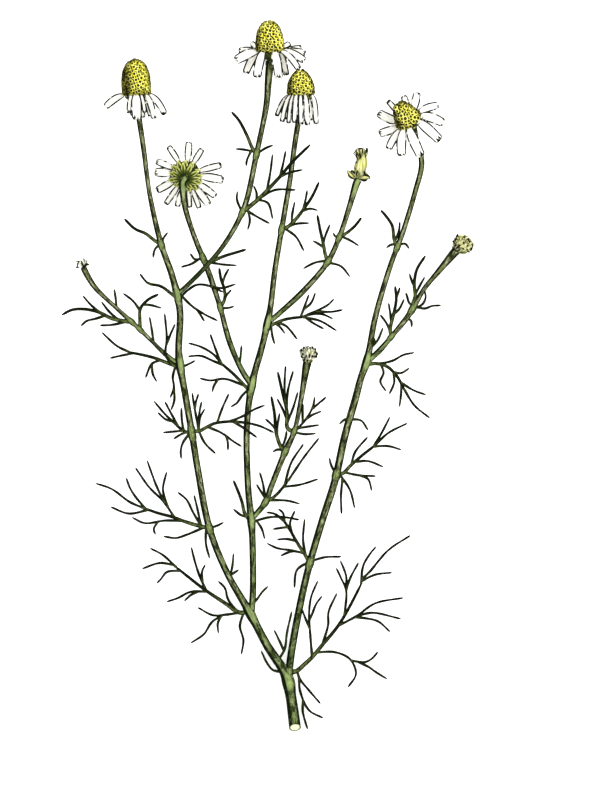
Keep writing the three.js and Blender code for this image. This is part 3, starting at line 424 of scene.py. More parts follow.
          [[200, 262], [192, 264], [182, 267, 4.4]],
        ],
    },
    "leaf_f1": {
        "at": [327, 262], "stem": "stem_f", "rise": 0.6,
        "rib": [[325, 254], [323, 243], [320, 230], [317.5, 216.5]],
        "lobes": [
          [[323, 243], [326, 234], [329.5, 225.5, 4.6]],
          [[323.5, 248], [318, 244], [313.5, 241.5, 9]],
          [[323, 262], [315, 263], [304, 268.5, 9]],
          [[331, 263], [341, 266.5], [349.5, 276.5, 5]],
        ],
    },
    "leaf_f2": {
        "at": [339, 238], "stem": "stem_f", "rise": -1,
        "rib": [[344, 235], [354, 227], [360.5, 219]],
        "lobes": [
          [[336, 238], [335, 236.5], [333.5, 234, 9]],
          [[343, 239], [350, 240.5], [358, 245.5, 5]],
        ],
    },
    "leaf_g1": {
        "at": [391, 337], "stem": "stem_g", "rise": 1,
        "rib": [[390, 329], [393, 316], [396, 300], [395, 287.5]],
        "lobes": [
          [[390.5, 330], [386, 323], [380.5, 315.5, 8]],
          [[391, 322], [390, 313], [388.5, 304, 5]],
          [[396, 298], [398, 293], [399.5, 288.5, 5]],
          [[393, 315], [399, 309], [403.5, 300, 9]],
        ],
    },
    "leaf_g2": {
        "at": [412, 309], "stem": "stem_g", "rise": 1.5,
        "rib": [[413, 303], [415, 296], [414, 285], [416.5, 270], [424.5, 257]],
        "lobes": [
          [[414, 286], [411.5, 281], [409.5, 274.5, 5]],
          [[415, 294], [420, 285], [424, 278, 9.5]],
          [[411, 306], [409, 303], [407.3, 298], [406, 293.5, 4]],
          [[416, 310], [422, 304.5], [425.3, 298], [424.5, 291.5, 8]],
          [[418, 311], [425, 308.5], [432, 306], [440, 305.5, 3.4]],
        ],
    },
    "leaf_h1": {
        "at": [265, 502], "stem": "stem_h", "rise": 1,
        "rib": [[271, 499], [278, 493], [287, 482]],
        "lobes": [
          [[285, 485], [291, 463], [303, 444.5, 7.8]],
          [[288, 481], [304, 457], [318.5, 438.5, 5]],
          [[284, 486], [300, 484.5], [317.5, 479, 7.6]],
          [[271, 501], [287, 500.5], [299, 503.5, 2.6]],
          [[264, 498], [263, 484], [260, 473, 7]],
          [[263, 497], [260, 490], [257, 485, 3]],
        ],
    },
    "leaf_h2": {
        "at": [283.5, 452], "stem": "stem_h", "rise": -0.4,
        "rib": [[280, 445], [276, 432], [274.5, 414], [271.5, 397.5]],
        "lobes": [
          [[275.5, 428], [270, 423], [266, 419.5, 2.8]],
          [[277, 436], [277.5, 425], [279.5, 414, 7.4]],
          [[284, 447], [285.5, 438], [286.5, 431.5, 8]],
          [[281, 452], [278, 449.5], [273.5, 451.5, 3]],
        ],
    },
    "leaf_h3": {
        "at": [293, 432], "stem": "stem_h", "rise": 2,
        "rib": [[287.5, 428], [287, 412], [283, 395], [278, 373]],
        "lobes": [
          [[286, 404], [284.5, 385], [285.5, 367, 9.4]],
          [[287, 408], [288, 390], [293, 371.5, 7.4]],
          [[290, 420], [283, 410], [277.5, 399.5, 4.6]],
          [[293, 424], [293, 408], [297.5, 393, 8.6]],
          [[299.5, 430], [306, 419], [313, 406], [314.5, 397.5, 3.4]],
          [[311, 409], [319, 403], [325.5, 397.5, 5.6]],
          [[305, 418], [312, 415], [320.5, 411.5, 6.5]],
          [[299.5, 431], [308, 426.5], [318.5, 425, 3]],
          [[294, 437], [304, 434], [315, 433.5, 6]],
          [[303, 423], [302.5, 413], [303, 405, 8.6]],
        ],
    },
    "leaf_i1": {
        "at": [141.5, 329], "stem": "stem_i", "rise": 1.5,
        "rib": [[140, 320], [140.5, 309], [148, 300], [157.5, 295]],
        "lobes": [
          [[140, 311], [133, 301], [124, 294, 4.2]],
          [[144, 304.5], [150, 305], [161, 308, 5]],
        ],
    },
    "leaf_i2": {
        "at": [133, 321], "stem": "stem_i", "rise": -2.4,
        "rib": [[126, 321.5], [112, 318.5], [98, 312], [84, 309.2], [72, 310], [63, 314.5]],
        "lobes": [
          [[101, 315.5], [92, 306], [83.5, 296.5, 4]],
          [[120, 320.5], [110, 312.5], [102, 302.5, 1.8]],
          [[106, 317], [95, 319], [87, 321], [81.5, 325.5, 0.6]],
          [[127, 322.5], [112, 325], [101, 325.5, 2.6]],
        ],
    },
}

# ---- Open flower heads ----
# Middle of the disc's foot, the way it faces and its height. `cup` is the radius of its scales and
# `cup_shade` how much painted shade darkens them, from 0 to 1. `shading` says where painted shade
# begins on the disc, on its shaded side and at its outline, and a larger `coarseness` gives it fewer
# and larger florets. The dome is (radius, share of the height) from rim to top. A ray is the spot of
# its tip and its width.

FLOWERS = {
    "flower_a": {
        "stem": "stem_a", "foot": [137, 96.5, 8.6], "facing": [-0.04, 1, 0.03], "height": 11.2,
        "cup": 3.4, "cup_shade": 0.9, "shading": (0.18, 0.82), "coarseness": 1.25,
        "dome": [[4.2, 0.14], [4.25, 0.38], [3.95, 0.62], [3.4, 0.77], [2.6, 0.89]],
        "rays": [[105.5, 108, 8, 2.5], [129.5, 114.5, 13.6, 1.8], [137.5, 121, 14.6, 3.3],
          [145.5, 114, 14, 1.6], [155, 120, 12.4, 2.2], [165.5, 115.5, 9.2, 2.3], [151, 117, 3.6, 2],
          [143, 118, 1, 2], [133, 116, 1, 2]],
    },
    "flower_b": {
        "stem": "stem_b", "foot": [270, 53, 9], "facing": [-0.03, 1, 0.08], "height": 9.6,
        "cup": 3.2, "cup_shade": 0.9, "shading": (0.42, 0.84), "coarseness": 1.6,
        "dome": [[4.15, 0.16], [4.1, 0.38], [3.65, 0.62], [2.95, 0.8], [2.05, 0.92]],
        "rays": [[238.5, 51.5, 8.6, 2.7], [235.5, 62, 11, 3.3], [245.5, 74, 4, 2.6], [257, 79, 14.4, 3],
          [279, 79.5, 14.4, 3], [286.5, 76, 4.4, 2.2], [299, 70.5, 12.4, 2.3], [305, 62, 10.6, 2.7],
          [306, 54, 8.4, 2.2], [302, 47.5, 6, 1.9], [290, 42.5, 1.6, 2], [251, 42.5, 2, 2],
          [268, 66, 0.8, 2]],
    },
    "flower_c": {
        "stem": "stem_c", "foot": [301, 96.5, 8.2], "facing": [-0.02, 1, 0.02], "height": 8.3,
        "cup": 3.4, "cup_shade": 0.7, "shading": (0.34, 0.78), "coarseness": 1.4,
        "dome": [[4.05, 0.17], [3.85, 0.4], [3.3, 0.6], [2.4, 0.79], [1.3, 0.92]],
        "rays": [[276.5, 117, 8, 1.6], [282, 123, 10.6, 1.8], [288.5, 124.5, 12.2, 1.6],
          [294.5, 124, 13.2, 1.9], [301, 126, 13.4, 1.8], [307.5, 126.5, 12.6, 2], [316, 125.5, 9.4, 2],
          [311, 121, 3.6, 2], [303, 122, 0.9, 2], [294, 121, 0.9, 2], [286, 120, 4, 2]],
    },
    "flower_d": {
        "stem": "stem_d", "foot": [409.5, 122.5, 7.6], "facing": [-0.48, 0.72, 0.5], "height": 7.3,
        "cup": 4.3, "cup_shade": 0.5, "shading": (0.42, 0.78), "coarseness": 1.7,
        "dome": [[4.1, 0.15], [3.6, 0.38], [3.05, 0.6], [2.5, 0.8], [1.9, 0.93]],
        "rays": [[377.5, 112.5, 4.6, 3], [378.5, 134, 7.6, 2.8], [388, 150, 10, 2.6],
          [401.5, 157, 11.4, 3.1], [421, 157.5, 11.4, 3.3], [440, 141.5, 9.8, 3.3], [444, 124, 7.2, 3.2],
          [438.5, 105.5, 4, 2.7], [417, 92.3, 1.4, 2.7], [403.5, 95.5, 0.8, 2.3],
            [387.5, 100.5, 1.8, 2]],
    },
    "flower_e": {
        "stem": "stem_e", "foot": [186, 176, 5.5], "facing": [0.2, 0.45, -0.87], "height": 4.6,
        "cup": 5.3, "cup_shade": 0, "shading": (0.2, 0.84), "coarseness": 1.5,
        "dome": [[3.8, 0.32], [3.5, 0.6], [2.8, 0.8], [1.8, 0.93]],
        "rays": [[168.5, 146.5, 9.5, 2.1], [189.5, 142, 11.3, 2.4], [202.5, 149.5, 11.2, 2.1],
          [222, 165.5, 10.2, 2.3], [224, 180.5, 8.2, 2.9], [216, 197, 4.9, 2.4], [209, 205.5, 3, 2.6],
          [199.5, 208.5, 2, 1.9], [190, 208, 1.2, 1.7], [177, 207, 0.9, 2], [165.5, 204.5, 0.8, 2],
          [156.5, 191, 1.9, 2.6], [154.5, 172.5, 4.6, 3], [156, 161.5, 6.5, 2.3]],
    },
}

# ---- Buds ----
# Foot, top, largest radius, and outline as shares of the length and of the radius. A ring of scales
# or petals is its lowest and highest share of the length, count, width, flare and kind. A strap is
# a single petal: route, width and kind. Threads are dark lines and tips are petals with dark ends,
# each as its width and its route, where a spot without a height lies on the bud's upper side.
# `slot` names a place in a material library, which nothing here uses, and `tone` is the petals' colour.

# Kinds of small part in a head's marks. A material tells them apart by their order.

SCALE = 1.0
PETAL = 2.0
INKED = 3.0
TIPPED = 4.0
THREAD = 5.0

BUDS = {
    "bud_f": {
        "slot": "green_bud", "tone": "green",
        "stem": "stem_f", "foot": [358.5, 178, 7], "top": [361.5, 151.5, 7.2], "radius": 1.4,
        "outline": [[0, 0.75], [0.08, 1], [0.5, 0.92], [0.8, 0.95], [0.95, 0.9]],
        "rings": [[-0.03, 0.4, 5, 1.6, 0.2, SCALE], [0.08, 0.62, 6, 1.5, 0.1, PETAL]],
        "straps": [
          [[[358.5, 177, 7.6], [359.5, 168, 8.9], [360.5, 158.5, 8.8]], 2.2, PETAL],
          [[[360.5, 176, 7.6], [362.8, 165, 8.7], [363.2, 154.5, 8.3]], 2.1, PETAL],
          [[[357.5, 176, 7.6], [356.8, 169, 8.3], [357, 161.5, 8.3]], 1.4, PETAL],
          [[[361, 176, 7.2], [365, 167, 7.6], [366, 157, 7.4]], 1.2, PETAL],
          [[[358.5, 160, 8.2], [356.8, 157, 8.2], [355.8, 153.5, 8], [356.8, 150.5, 7.8]], 0.9, PETAL],
          [[[359, 155, 8.3], [357.5, 151, 8.2], [358.8, 148.7, 7.8]], 1.1, INKED],
          [[[361, 154, 8.3], [361, 150.5, 8.2], [361.8, 148.3, 7.8]], 1.1, INKED],
          [[[363, 154, 8.3], [363.5, 151, 8.2], [364, 148.8, 7.8]], 1, INKED],
          [[[365, 157, 8], [366.2, 153, 8], [367.2, 148.4, 7.8]], 1.1, SCALE],
          [[[355.5, 178.5, 7.6], [351.5, 176, 7.8], [348.5, 172.8, 7.8], [347.5, 170.8, 7.6]],
            1.5, INKED],
          [[[355.5, 177, 8], [353.5, 173.5, 8], [351.3, 170.5, 7.8]], 1.2, INKED],
          [[[360, 178.6, 7.6], [364.5, 177.8, 7.8], [369.3, 177.9, 7.2]], 1.7, INKED],
          [[[364, 172, 7.8], [366.5, 174.8, 7.6], [369, 176.5, 7.2]], 0.9, SCALE]],
        "threads": [
          [0.5, [357, 152.5, 8.4], [356.4, 156, 8.6], [357.6, 160, 8.6]],
          [0.5, [358.7, 154], [360.3, 156.5], [359.6, 160]],
          [0.4, [362.7, 150], [362.6, 154]],
          [0.6, [355, 152, 8], [357, 150.1, 8], [360.3, 149.1, 8.2], [364, 149.4, 8]],
          [0.6, [366.5, 148.2, 8], [366.7, 150.8, 8.2], [365.6, 154.3, 8.3]],
          [0.4, [365.2, 155, 8.2], [365.6, 160, 8.3], [365.7, 166, 8.3], [365.2, 172, 8.3]],
          [0.65, [364.2, 171.5, 8.4], [364.6, 174.3, 8.2], [366.8, 175.8, 7.9], [369.2, 177, 7.4],
            [369.2, 180.3, 7.3]],
          [0.6, [360.5, 180.2, 7.9], [364.3, 181.3, 7.8], [367.8, 180.2, 7.6]],
          [0.45, [356.4, 161.8], [355.9, 164]],
          [0.4, [354.7, 167], [355.2, 170.5]],
          [0.35, [357.6, 170.8], [356.5, 174], [356.6, 177.3]],
          [0.25, [359.8, 172.5], [359.8, 178]],
          [0.55, [354.6, 174.3, 8.3], [352.6, 171.8, 8.1], [349.8, 171.6, 7.9]],
          [0.55, [348, 173.7, 7.9], [349, 176.6, 8], [351.5, 178.6, 8], [355.3, 179.8, 7.9]],
          [0.3, [354.9, 151.8, 8], [353.6, 154.3, 8.1], [355, 156.3, 8.2]]],
        "tips": [],
    },
    "bud_g": {
        "slot": "cream_bud", "tone": "cream",
        "stem": "stem_g", "foot": [457.5, 249.5, 3.1], "top": [468, 239, 3.1], "radius": 2.75,
        "outline": [[0, 0.5], [0.2, 0.88], [0.5, 1], [0.8, 0.82], [1, 0.3]],
        "rings": [[-0.1, 0.3, 9, 1.5, 0.2, SCALE], [0.02, 0.55, 12, 1.4, 0.35, PETAL],
          [0.25, 0.8, 12, 1.3, 0.4, PETAL], [0.45, 0.98, 10, 1.2, 0.5, PETAL],
          [0.68, 1.1, 7, 1.1, 0.35, PETAL], [0.85, 1.14, 3, 0.9, 0.1, PETAL]],
        "straps": [
          [[[459, 243, 4.6], [457, 239, 4.8], [456.5, 236, 4.2]], 0.8, INKED],
          [[[464, 239, 4.6], [464.8, 236.5, 4.4], [464.6, 234.6, 4]], 0.8, INKED],
          [[[470, 244, 4.4], [472.5, 244, 4], [474, 243, 3.6]], 0.8, INKED],
          [[[457, 247, 4.4], [454, 245.5, 4], [452.8, 243.8, 3.4]], 0.8, INKED]],
        "threads": [
          [0.6, [455.6, 249], [460.3, 244.8]],
          [0.5, [454, 247.3], [456.3, 244.6]],
          [0.6, [453.2, 250.8], [452.4, 246.3]],
          [0.5, [454.3, 250.6], [457, 251.4], [460.2, 249.3]],
          [0.35, [454.6, 242.3], [454, 243.6]],
          [0.4, [459.2, 238.8], [458.8, 240.5]],
          [0.55, [463.1, 241.9], [463.7, 244.6]],
          [0.25, [466.4, 239.8], [465.5, 241.5]],
          [0.5, [471.9, 248], [472.7, 245.9], [472.1, 243.4]],
          [0.7, [471.8, 248.2], [470.4, 251.4]],
          [0.5, [467, 251.7], [470.2, 252.4]],
          [0.45, [467.8, 244.8], [466.4, 247.2]],
          [0.45, [463, 248.6], [464, 250.4]],
          [0.5, [466.2, 249.5], [468.2, 250.4]]],
        "tips": [
          [1, [457.5, 242, 6], [454, 238.6, 5.5]],
          [0.9, [458.5, 240, 6], [457, 236.5, 5.6], [457.7, 233.8, 5.2]],
          [0.8, [456, 243, 5.9], [451.9, 241, 5.3]],
          [0.8, [463, 240, 6.2], [464.6, 235.8, 5.7]],
          [0.9, [466, 242, 6.2], [469.1, 238.2, 5.7]],
          [0.8, [467, 243, 6.2], [471, 241.1, 5.8]]],
    },
    "bud_h": {
        "slot": "cream_bud", "tone": "white",
        "stem": "stem_h", "foot": [307.7, 360, 6], "top": [309.2, 348.5, 6.3], "radius": 2.15,
        "outline": [[0, 0.55], [0.2, 0.85], [0.5, 1], [0.8, 0.98], [1, 0.5]],
        "rings": [[-0.16, 0.1, 8, 1.4, 0.1, SCALE], [0.0, 0.5, 10, 1.3, 0.4, PETAL],
          [0.25, 0.85, 10, 1.2, 0.7, PETAL], [0.5, 1.02, 9, 1.1, 0.5, PETAL],
            [0.75, 1.1, 5, 1.0, 0.3, PETAL]],
        "straps": [
          [[[304, 354, 7.6], [301.8, 352.5, 7.6], [300.8, 350.5, 7]], 1, PETAL],
          [[[304, 357, 7.4], [302.3, 357, 7.2], [301.8, 355, 7]], 0.9, PETAL],
          [[[313, 355, 7.4], [316, 355.5, 7.2], [317.3, 353.8, 7]], 1.1, PETAL],
          [[[313, 352, 7.6], [315.5, 351, 7.4], [316.2, 349.3, 7]], 1, PETAL],
          [[[306.5, 350, 8], [305.5, 347.5, 7.8], [306.3, 345.8, 7.4]], 0.9, INKED],
          [[[311, 349.5, 8], [311.8, 347.3, 7.8], [311.2, 345.6, 7.4]], 0.9, INKED]],
        "threads": [
          [0.6, [303.6, 351.7], [302.4, 355.6]],
          [0.4, [306.4, 347.4], [308.3, 346.8], [310.2, 347.7]],
          [0.5, [311.7, 347.3], [314.3, 348.7]],
          [0.5, [315.1, 348.2], [315.6, 350.9]],
          [0.55, [314.7, 351.3], [316.2, 353]],
          [0.45, [306.1, 354.8], [306.4, 358.2]],
          [0.5, [309.5, 354.3], [309.4, 358.6]],
          [0.5, [311.5, 356], [313.3, 357.3]],
          [0.45, [305.2, 357.5], [304.2, 361, 7.7]],
          [0.55, [303.7, 359.8, 7.5], [303.5, 362.5, 7.2]],
          [0.55, [307.4, 360, 8], [307.9, 362, 7.8]],
          [0.55, [310.9, 360.3, 7.5], [311.2, 363, 7.2]]],
        "tips": [
          [0.8, [304, 353, 8.6], [301.6, 351.5, 8.3], [301, 348.3, 8]],
          [1.1, [304.5, 356, 8.5], [300.4, 357.1, 8.1]],
          [0.8, [305, 351, 8.6], [303.1, 346.5, 8.2]],
          [1.3, [313.8, 354.6, 8.5], [318.2, 353.7, 8]],
          [1.2, [313.2, 354.5, 8.5], [317.1, 357.6, 8]]],
    },
    "bud_i": {
        "slot": "green_bud", "tone": "white",
        "stem": "stem_i", "foot": [84.2, 267, 2.2], "top": [82.8, 260, 2.4], "radius": 0.85,
        "outline": [[0, 0.75], [0.3, 0.95], [0.6, 0.8], [0.8, 0.4]],
        "rings": [[0, 0.7, 3, 1.1, 0.3, PETAL]],
        "straps": [
          [[[84.5, 267, 2.8], [81, 264.5, 3.1], [79, 263, 3], [77.9, 264.5, 2.8], [77.6, 267, 2.5]],
            0.7, PETAL],
          [[[84.3, 266, 2.9], [83.6, 262, 3.1], [83.4, 259, 3]], 1, PETAL],
          [[[85, 266, 2.9], [85.6, 262, 3.1], [85.4, 259.5, 3]], 0.8, PETAL],
          [[[86, 266, 2.8], [87.3, 263, 3], [88.3, 260.5, 2.9]], 0.8, PETAL]],
        "threads": [
          [0.6, [84.6, 269, 3.3], [83, 265.3, 3.4], [80.9, 260, 3.3]],
          [0.75, [85.2, 266.8, 3.3], [86.3, 264.3, 3.3], [87.3, 264.6, 3.2], [89.8, 264.8, 3]],
          [0.42, [79.5, 261.5, 3.3], [77.9, 263.3, 3.2], [77.5, 265.8, 3], [76.1, 268.3, 2.8]],
          [0.45, [76, 267.9, 2.8], [80.2, 267, 2.8]],
          [0.22, [82.3, 258.3, 3.2], [84, 258.6, 3.3], [84.9, 261, 3.3], [85, 263.5, 3.3]],
          [0.18, [86.6, 259.8, 3.2], [86.8, 263.5, 3.3]],
          [0.32, [76, 261.9, 3.2], [78.8, 261.3, 3.3], [81.6, 261, 3.3]]],
        "tips": [],
    },
}

# ---- Sizes that are the same all over the sprig, in millimetres ----

# Distances between the rings of a stem, a sheath, a leaf's thread and a small petal, and between
# the rings of a disc's, a bud's and a cup's outline.
STEM_SPACING = 0.8
SHEATH_SPACING = 0.3
LOBE_SPACING = 0.55
STRAP_SPACING = 0.35
DISC_SPACING = 0.12
BUD_SPACING = 0.15
CUP_SPACING = 0.4

# Stems swell and turn yellow-green where a branch starts. The swelling is a share of the branch's
# radius, and the shades are in the scale of a stem's marks.
STEM_SIDES = 24
STEM_RIDGES = 6
NODE_REACH = 2.6
NODE_SWELL = 0.4
NODE_SHADE = 0.8
FOOT_SHADE = 0.7
FOOT_SHADE_REACH = 6.0

# Distances from a stem's top over which its pale end fades, and from its foot over which a dark
# foot starts and ends.
PALE_TOP_FADE = (3, 8)
DARK_FOOT_START = (2, 6)
DARK_FOOT_END = (15, 40)

# The cut at the foot: its slope, how far up the stem the rings lean with it, its width and its
# rings as shares of the stem's radius, and how far its pith stands out.
CUT_SLANT = 0.65
SLANT_REACH = 4.8
CUT_WIDTH = 0.96
CUT_RINGS = (0.02, 0.35, 0.6, 0.78, 0.86, 0.97)
PITH_RISE = 0.08

# A leaf's sheath: half its length, its swelling, and how deep its ends sit in the stem.
SHEATH_REACH = 1.5
SHEATH_SWELL = 0.26
SHEATH_SEAT = 0.04

# Threads: their height as a share of their width, the slope of a lobe with no height of its own,
# how far a point reaches past its last spot, the length of its rounding, and how thickness varies.
RIB_SIDES = 9
LOBE_SIDES = 7
FLAT_THREAD = 0.8
LOBE_SLOPE = 0.2
LOWEST_TIP = 0.7
TIP_REACH = 0.36
POINT_LENGTH = 1.2
THREAD_WOBBLE = 0.08

# Length of a rib from which its foot is as stout as can be.
STOUT_LEAF = 28.0

# How olive a lobe is where it starts, in the scale of a leaf's marks, and over what length.
LOBE_FOOT_SHADE = 0.3
LOBE_FOOT_REACH = 3.0

# Kinds of skin in a stem's marks, under and over the numbers for a node.
TWIG = -1.0
CUT_FACE = 2.0

# Flower heads. Profiles are (radius, height) over the disc's foot, in an upright head, and the
# rim's radii are shares of the dome's.
NECK_LENGTH = 2.4
SEAT_GAP = 0.3
HEAD_SIDES = 28
DISC_RIM = [(0.85, 0.45), (1.0, 0.9)]
STALK_TOP = (0.9, -NECK_LENGTH - 0.7)
CUP_RIM = (2.4, 0.1)
CUP_PROFILE = [(0.95, -2.6), (1.05, -2.3), (1.4, -1.7), (2.1, -1.0), (2.9, -0.5), (3.3, -0.15)]
# The cone inside the disc, above its foot: (radius, share of the disc's height).
CUP_CONE = [(1.6, 0.4), (0.3, 0.78)]
# Rows of scales: count, foot, tip as a share of the cup's radius and a height, width and lift.
CUP_ROWS = [
    (13, (2.3, -0.95), (1, -0.12), 2.5, 0.18),
    (11, (1.5, -1.6), (0.84, -0.42), 2.15, 0.26),
]

# Tubular florets: how deep the core lies under the outline, how far they stand out of the dome,
# drift from their spiral and lean, and the rings of one, each with its share of the radius and of
# the height, the depth of its teeth, and how light it is. Low numbers give painted shade at the
# foot, between a floret and the next, and in its open mouth.
CORE_DROP = 0.25
FLORET_REACH = 0.32
FLORET_DRIFT = 0.2
FLORET_LEAN = 0.12
FLORET_HEIGHT = 0.55
FLORET_TEETH = 5
FLORET_SHAPE = [
    (0.85, -0.35, 0, 0.4),
    (0.98, 0.2, 0, 0.8),
    (1.0, 0.6, 0.04, 0.95),
    (0.88, 0.92, 0.1, 1.0),
    (0.58, 0.95, 0, 0.3),
    (0.48, 0.7, 0, 0),
]
GOLDEN_ANGLE = math.pi * (3 - math.sqrt(5))

# Rays: foot, rim of the disc, least length, the share of it before the bend, and their relief.
# The foot is (radius, height), and corners and teeth are shares of a ray's half width.
RAY_ROOT = (3.1, 0.5)
RIM_RADIUS = 3.6
SHORTEST_RAY = 2.1
STRAIGHT_SHARE = 0.45
RAY_STEPS = 15
RAY_COLUMNS = np.linspace(-1, 1, 17)
RAY_CORNER = 0.3
RAY_TOOTH = 0.2
RAY_FURROW = 0.07
RAY_CURL = (-0.12, 0.2)
RAY_WAVE = 0.05

# Scales and small petals: steps across and along, rise of the middle, hollow of the edges, and how
# far the lower side lies under them.
PETAL_COLUMNS = np.linspace(-1, 1, 7)
BRACT_STEPS = np.linspace(0, 1, 8)
BRACT_RISE = 0.16
BRACT_HOLLOW = 0.12
BRACT_UNDER = -0.1
STRAP_RISE = 0.16

# Buds: the foot of the body as a share of its radius and a height, the bow of a petal, where shade
# begins, how far round a bud its dark threads reach, in radii, and how high they lie over it.
BUD_FOOT = (0.42, -0.75)
BUD_SIDES = 44
BUD_FOLDS = 11
BUD_BOW = 0.3
BUD_SHADING = (0.2, 0.86)
THREAD_SPREAD = 1.25
THREAD_LIFT = 0.75

# The shaded side of the sprig, and how softly shade begins on that side and at the outline.
SHADED_SIDE = (-1.0, -0.25, -0.1)
SIDE_SOFTNESS = 0.3
OUTLINE_SOFTNESS = 0.14

UP = (0, 0, 1)

# ---- Lines and vectors ----

# Which knots each round of a smooth line's blend runs between.
KNOT_PAIRS = [[(0, 1), (1, 2), (2, 3)], [(0, 2), (1, 3)], [(1, 2)]]


def place(spot):
    """A spot of the sheet, with or without a height, in millimetres."""
    height = spot[2] if len(spot) > 2 else 0.0
    step = STEP / MM
    return np.array([(spot[0] - SHEET_MIDDLE[0]) * step, (SHEET_MIDDLE[1] - spot[1]) * step, height])


def unit(vectors):
    """Vectors, one or many, made one long."""
    vectors = np.asarray(vectors, dtype=float)
    return vectors / np.maximum(np.linalg.norm(vectors, axis=-1, keepdims=True), 1e-9)


def smooth(points, spacing):
    """A smooth line through the points, as an array of places about `spacing` apart."""
    points = [np.asarray(point, dtype=float) for point in points]
    points = [2 * points[0] - points[1], *points, 2 * points[-1] - points[-2]]
    line = [points[1]]
    for four in zip(points, points[1:], points[2:], points[3:]):
        knots = [0.0]
        for a, b in zip(four, four[1:]):
            knots.append(knots[-1] + max(math.sqrt(np.linalg.norm(b - a)), 1e-4))
        count = max(1, math.ceil(np.linalg.norm(four[2] - four[1]) / spacing))
        for i in range(1, count + 1):
            t = knots[1] + (knots[2] - knots[1]) * i / count
            rows = four
            for pairs in KNOT_PAIRS:
                rows = [
                    rows[k] + (rows[k + 1] - rows[k]) * (t - knots[low]) / (knots[high] - knots[low])
                    for k, (low, high) in enumerate(pairs)
                ]
            line.append(rows[0])
    return np.array(line)


def smooth_outline(profile, spacing):
    """A smooth outline through places of (radius, height)."""
    return smooth([(radius, height, 0) for radius, height in profile], spacing)[:, :2]


def lengths_along(line):
    """The length of a line up to each of its places."""
    return np.concatenate([[0.0], np.cumsum(np.linalg.norm(np.diff(line, axis=0), axis=1))])


def directions(line):
    """The direction of a line at each of its places."""
    return unit(np.gradient(line, axis=0))


def level_frame(line):
    """For each place of a line, the level direction across it and the one over it."""
    along = directions(line)
    across = np.cross(along, UP)
    upright = np.linalg.norm(across, axis=1) < 0.05
    across[upright] = np.cross(along[upright], (1, 0, 0))
    across = unit(across)
    return across, unit(np.cross(across, along))


def soft_step(low, high, value):
    """0 below low, 1 above high, and a smooth rise between them."""
    share = np.clip((np.asarray(value, dtype=float) - low) / (high - low), 0, 1)
    return share * share * (3 - 2 * share)


def nearest(line, spot):
    """The number of the place on a line that is nearest to a spot, seen from above."""
    return int(np.argmin(np.hypot(*(line[:, :2] - spot[:2]).T)))


# ---- Meshes ----


class Skin:
    """The points and faces of one piece, with two vectors at each point for its material.

    `grain` is where on the surface the point is, and `mark` is what the material shades by.
    """

    def __init__(self):
        self.points = []
        self.faces = []
        self.grain = []
        self.mark = []
        self.count = 0

    def grid(self, points, grain, mark, start_cap=True, end_cap=True, left_handed=False):
        """Adds closed rings of points, joined, with a face over each end that has a cap.

        The rings run right-handed about the way they are stacked, or left-handed where that is
        said, and either way the faces look outwards.
        """
        rings, sides = points.shape[:2]
        faces = []
        for i in range(rings - 1):
            for j in range(sides):
                k = (j + 1) % sides
                low, high = i * sides, (i + 1) * sides
                faces.append((low + j, low + k, high + k, high + j))
        if start_cap:
            faces.append(range(sides)[::-1])
        if end_cap:
            faces.append(range((rings - 1) * sides, rings * sides))
        if left_handed:
            faces = [(face[0], *face[:0:-1]) for face in faces]
        self.faces.extend([tuple(corner + self.count for corner in face) for face in faces])
        self.points.append(points.reshape(-1, 3))
        for rows, values in ((self.grain, grain), (self.mark, mark)):
            rows.append(np.broadcast_to(values, points.shape).reshape(-1, 3))
        self.count += rings * sides

    def piece(self, name, node, slot, material):
        """Makes the mesh, which stands for a node of the frame."""
        mesh = bpy.data.meshes.new(name)
        points = np.concatenate(self.points) * MM
        mesh.from_pydata(points.tolist(), [], self.faces)
        for title, rows in (("grain", self.grain), ("mark", self.mark)):
            layer = mesh.attributes.new(title, "FLOAT_VECTOR", "POINT")
            layer.data.foreach_set("vector", np.concatenate(rows).astype(float).ravel())
        mesh.materials.append(material)
        mesh.polygons.foreach_set("use_smooth", [True] * len(mesh.polygons))
        mesh.update()
        made = bpy.data.objects.new(name, mesh)
        bpy.context.scene.collection.objects.link(made)
        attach(made, "root")
        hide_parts(node)


def marks_along(*values):
    """A mark for each place of a line, from three rows or numbers."""
    return np.stack(np.broadcast_arrays(*values), axis=1)


def tube(skin, line, radii, sides, marks, ridges=0, depth=0.0, flat=1.0, slant=0.0):
    """A round or ridged tube along a line. A ridge lies straight up, and grooves to its sides."""
    across, over = level_frame(line)
    angles = 2 * math.pi * np.arange(sides) / sides
    swell = 1 - depth * (0.5 + 0.5 * np.cos(ridges * angles)) if ridges else np.ones(sides)
    radii = np.broadcast_to(radii, len(line))[:, None, None]
    ring = np.cos(angles)[None, :, None] * across[:, None, :]
    ring = ring + flat * np.sin(angles)[None, :, None] * over[:, None, :]
    points = line[:, None, :] + radii * swell[None, :, None] * ring
    if slant:
        points = points + slanted(line, slant * radii * np.sin(angles)[None, :, None])
    grain = np.empty(points.shape)
    grain[..., 0] = np.cos(angles)
    grain[..., 1] = np.sin(angles)
    grain[..., 2] = lengths_along(line)[:, None]
    skin.grid(points, grain, marks[:, None, :], left_handed=True)


def slanted(line, amount):
    """How far the rings of a tube's foot move along it for an oblique cut."""
    fade = np.clip(1 - lengths_along(line) / SLANT_REACH, 0, 1)[:, None, None]
    return directions(line)[:, None, :] * amount * fade


def ribbon(skin, steps, columns, sheet, mark):
    """A thin strip. `sheet` gives the upper place, the lower one and the grain at a step and column."""
    rows, grain = [], []
    for i in range(steps):
        tops, unders, grains = zip(*[sheet(i, u) for u in columns])
        rows.append([*tops, *unders[::-1]])
        grain.append([*grains, *grains[::-1]])
    skin.grid(np.array(rows), np.array(grain), mark)


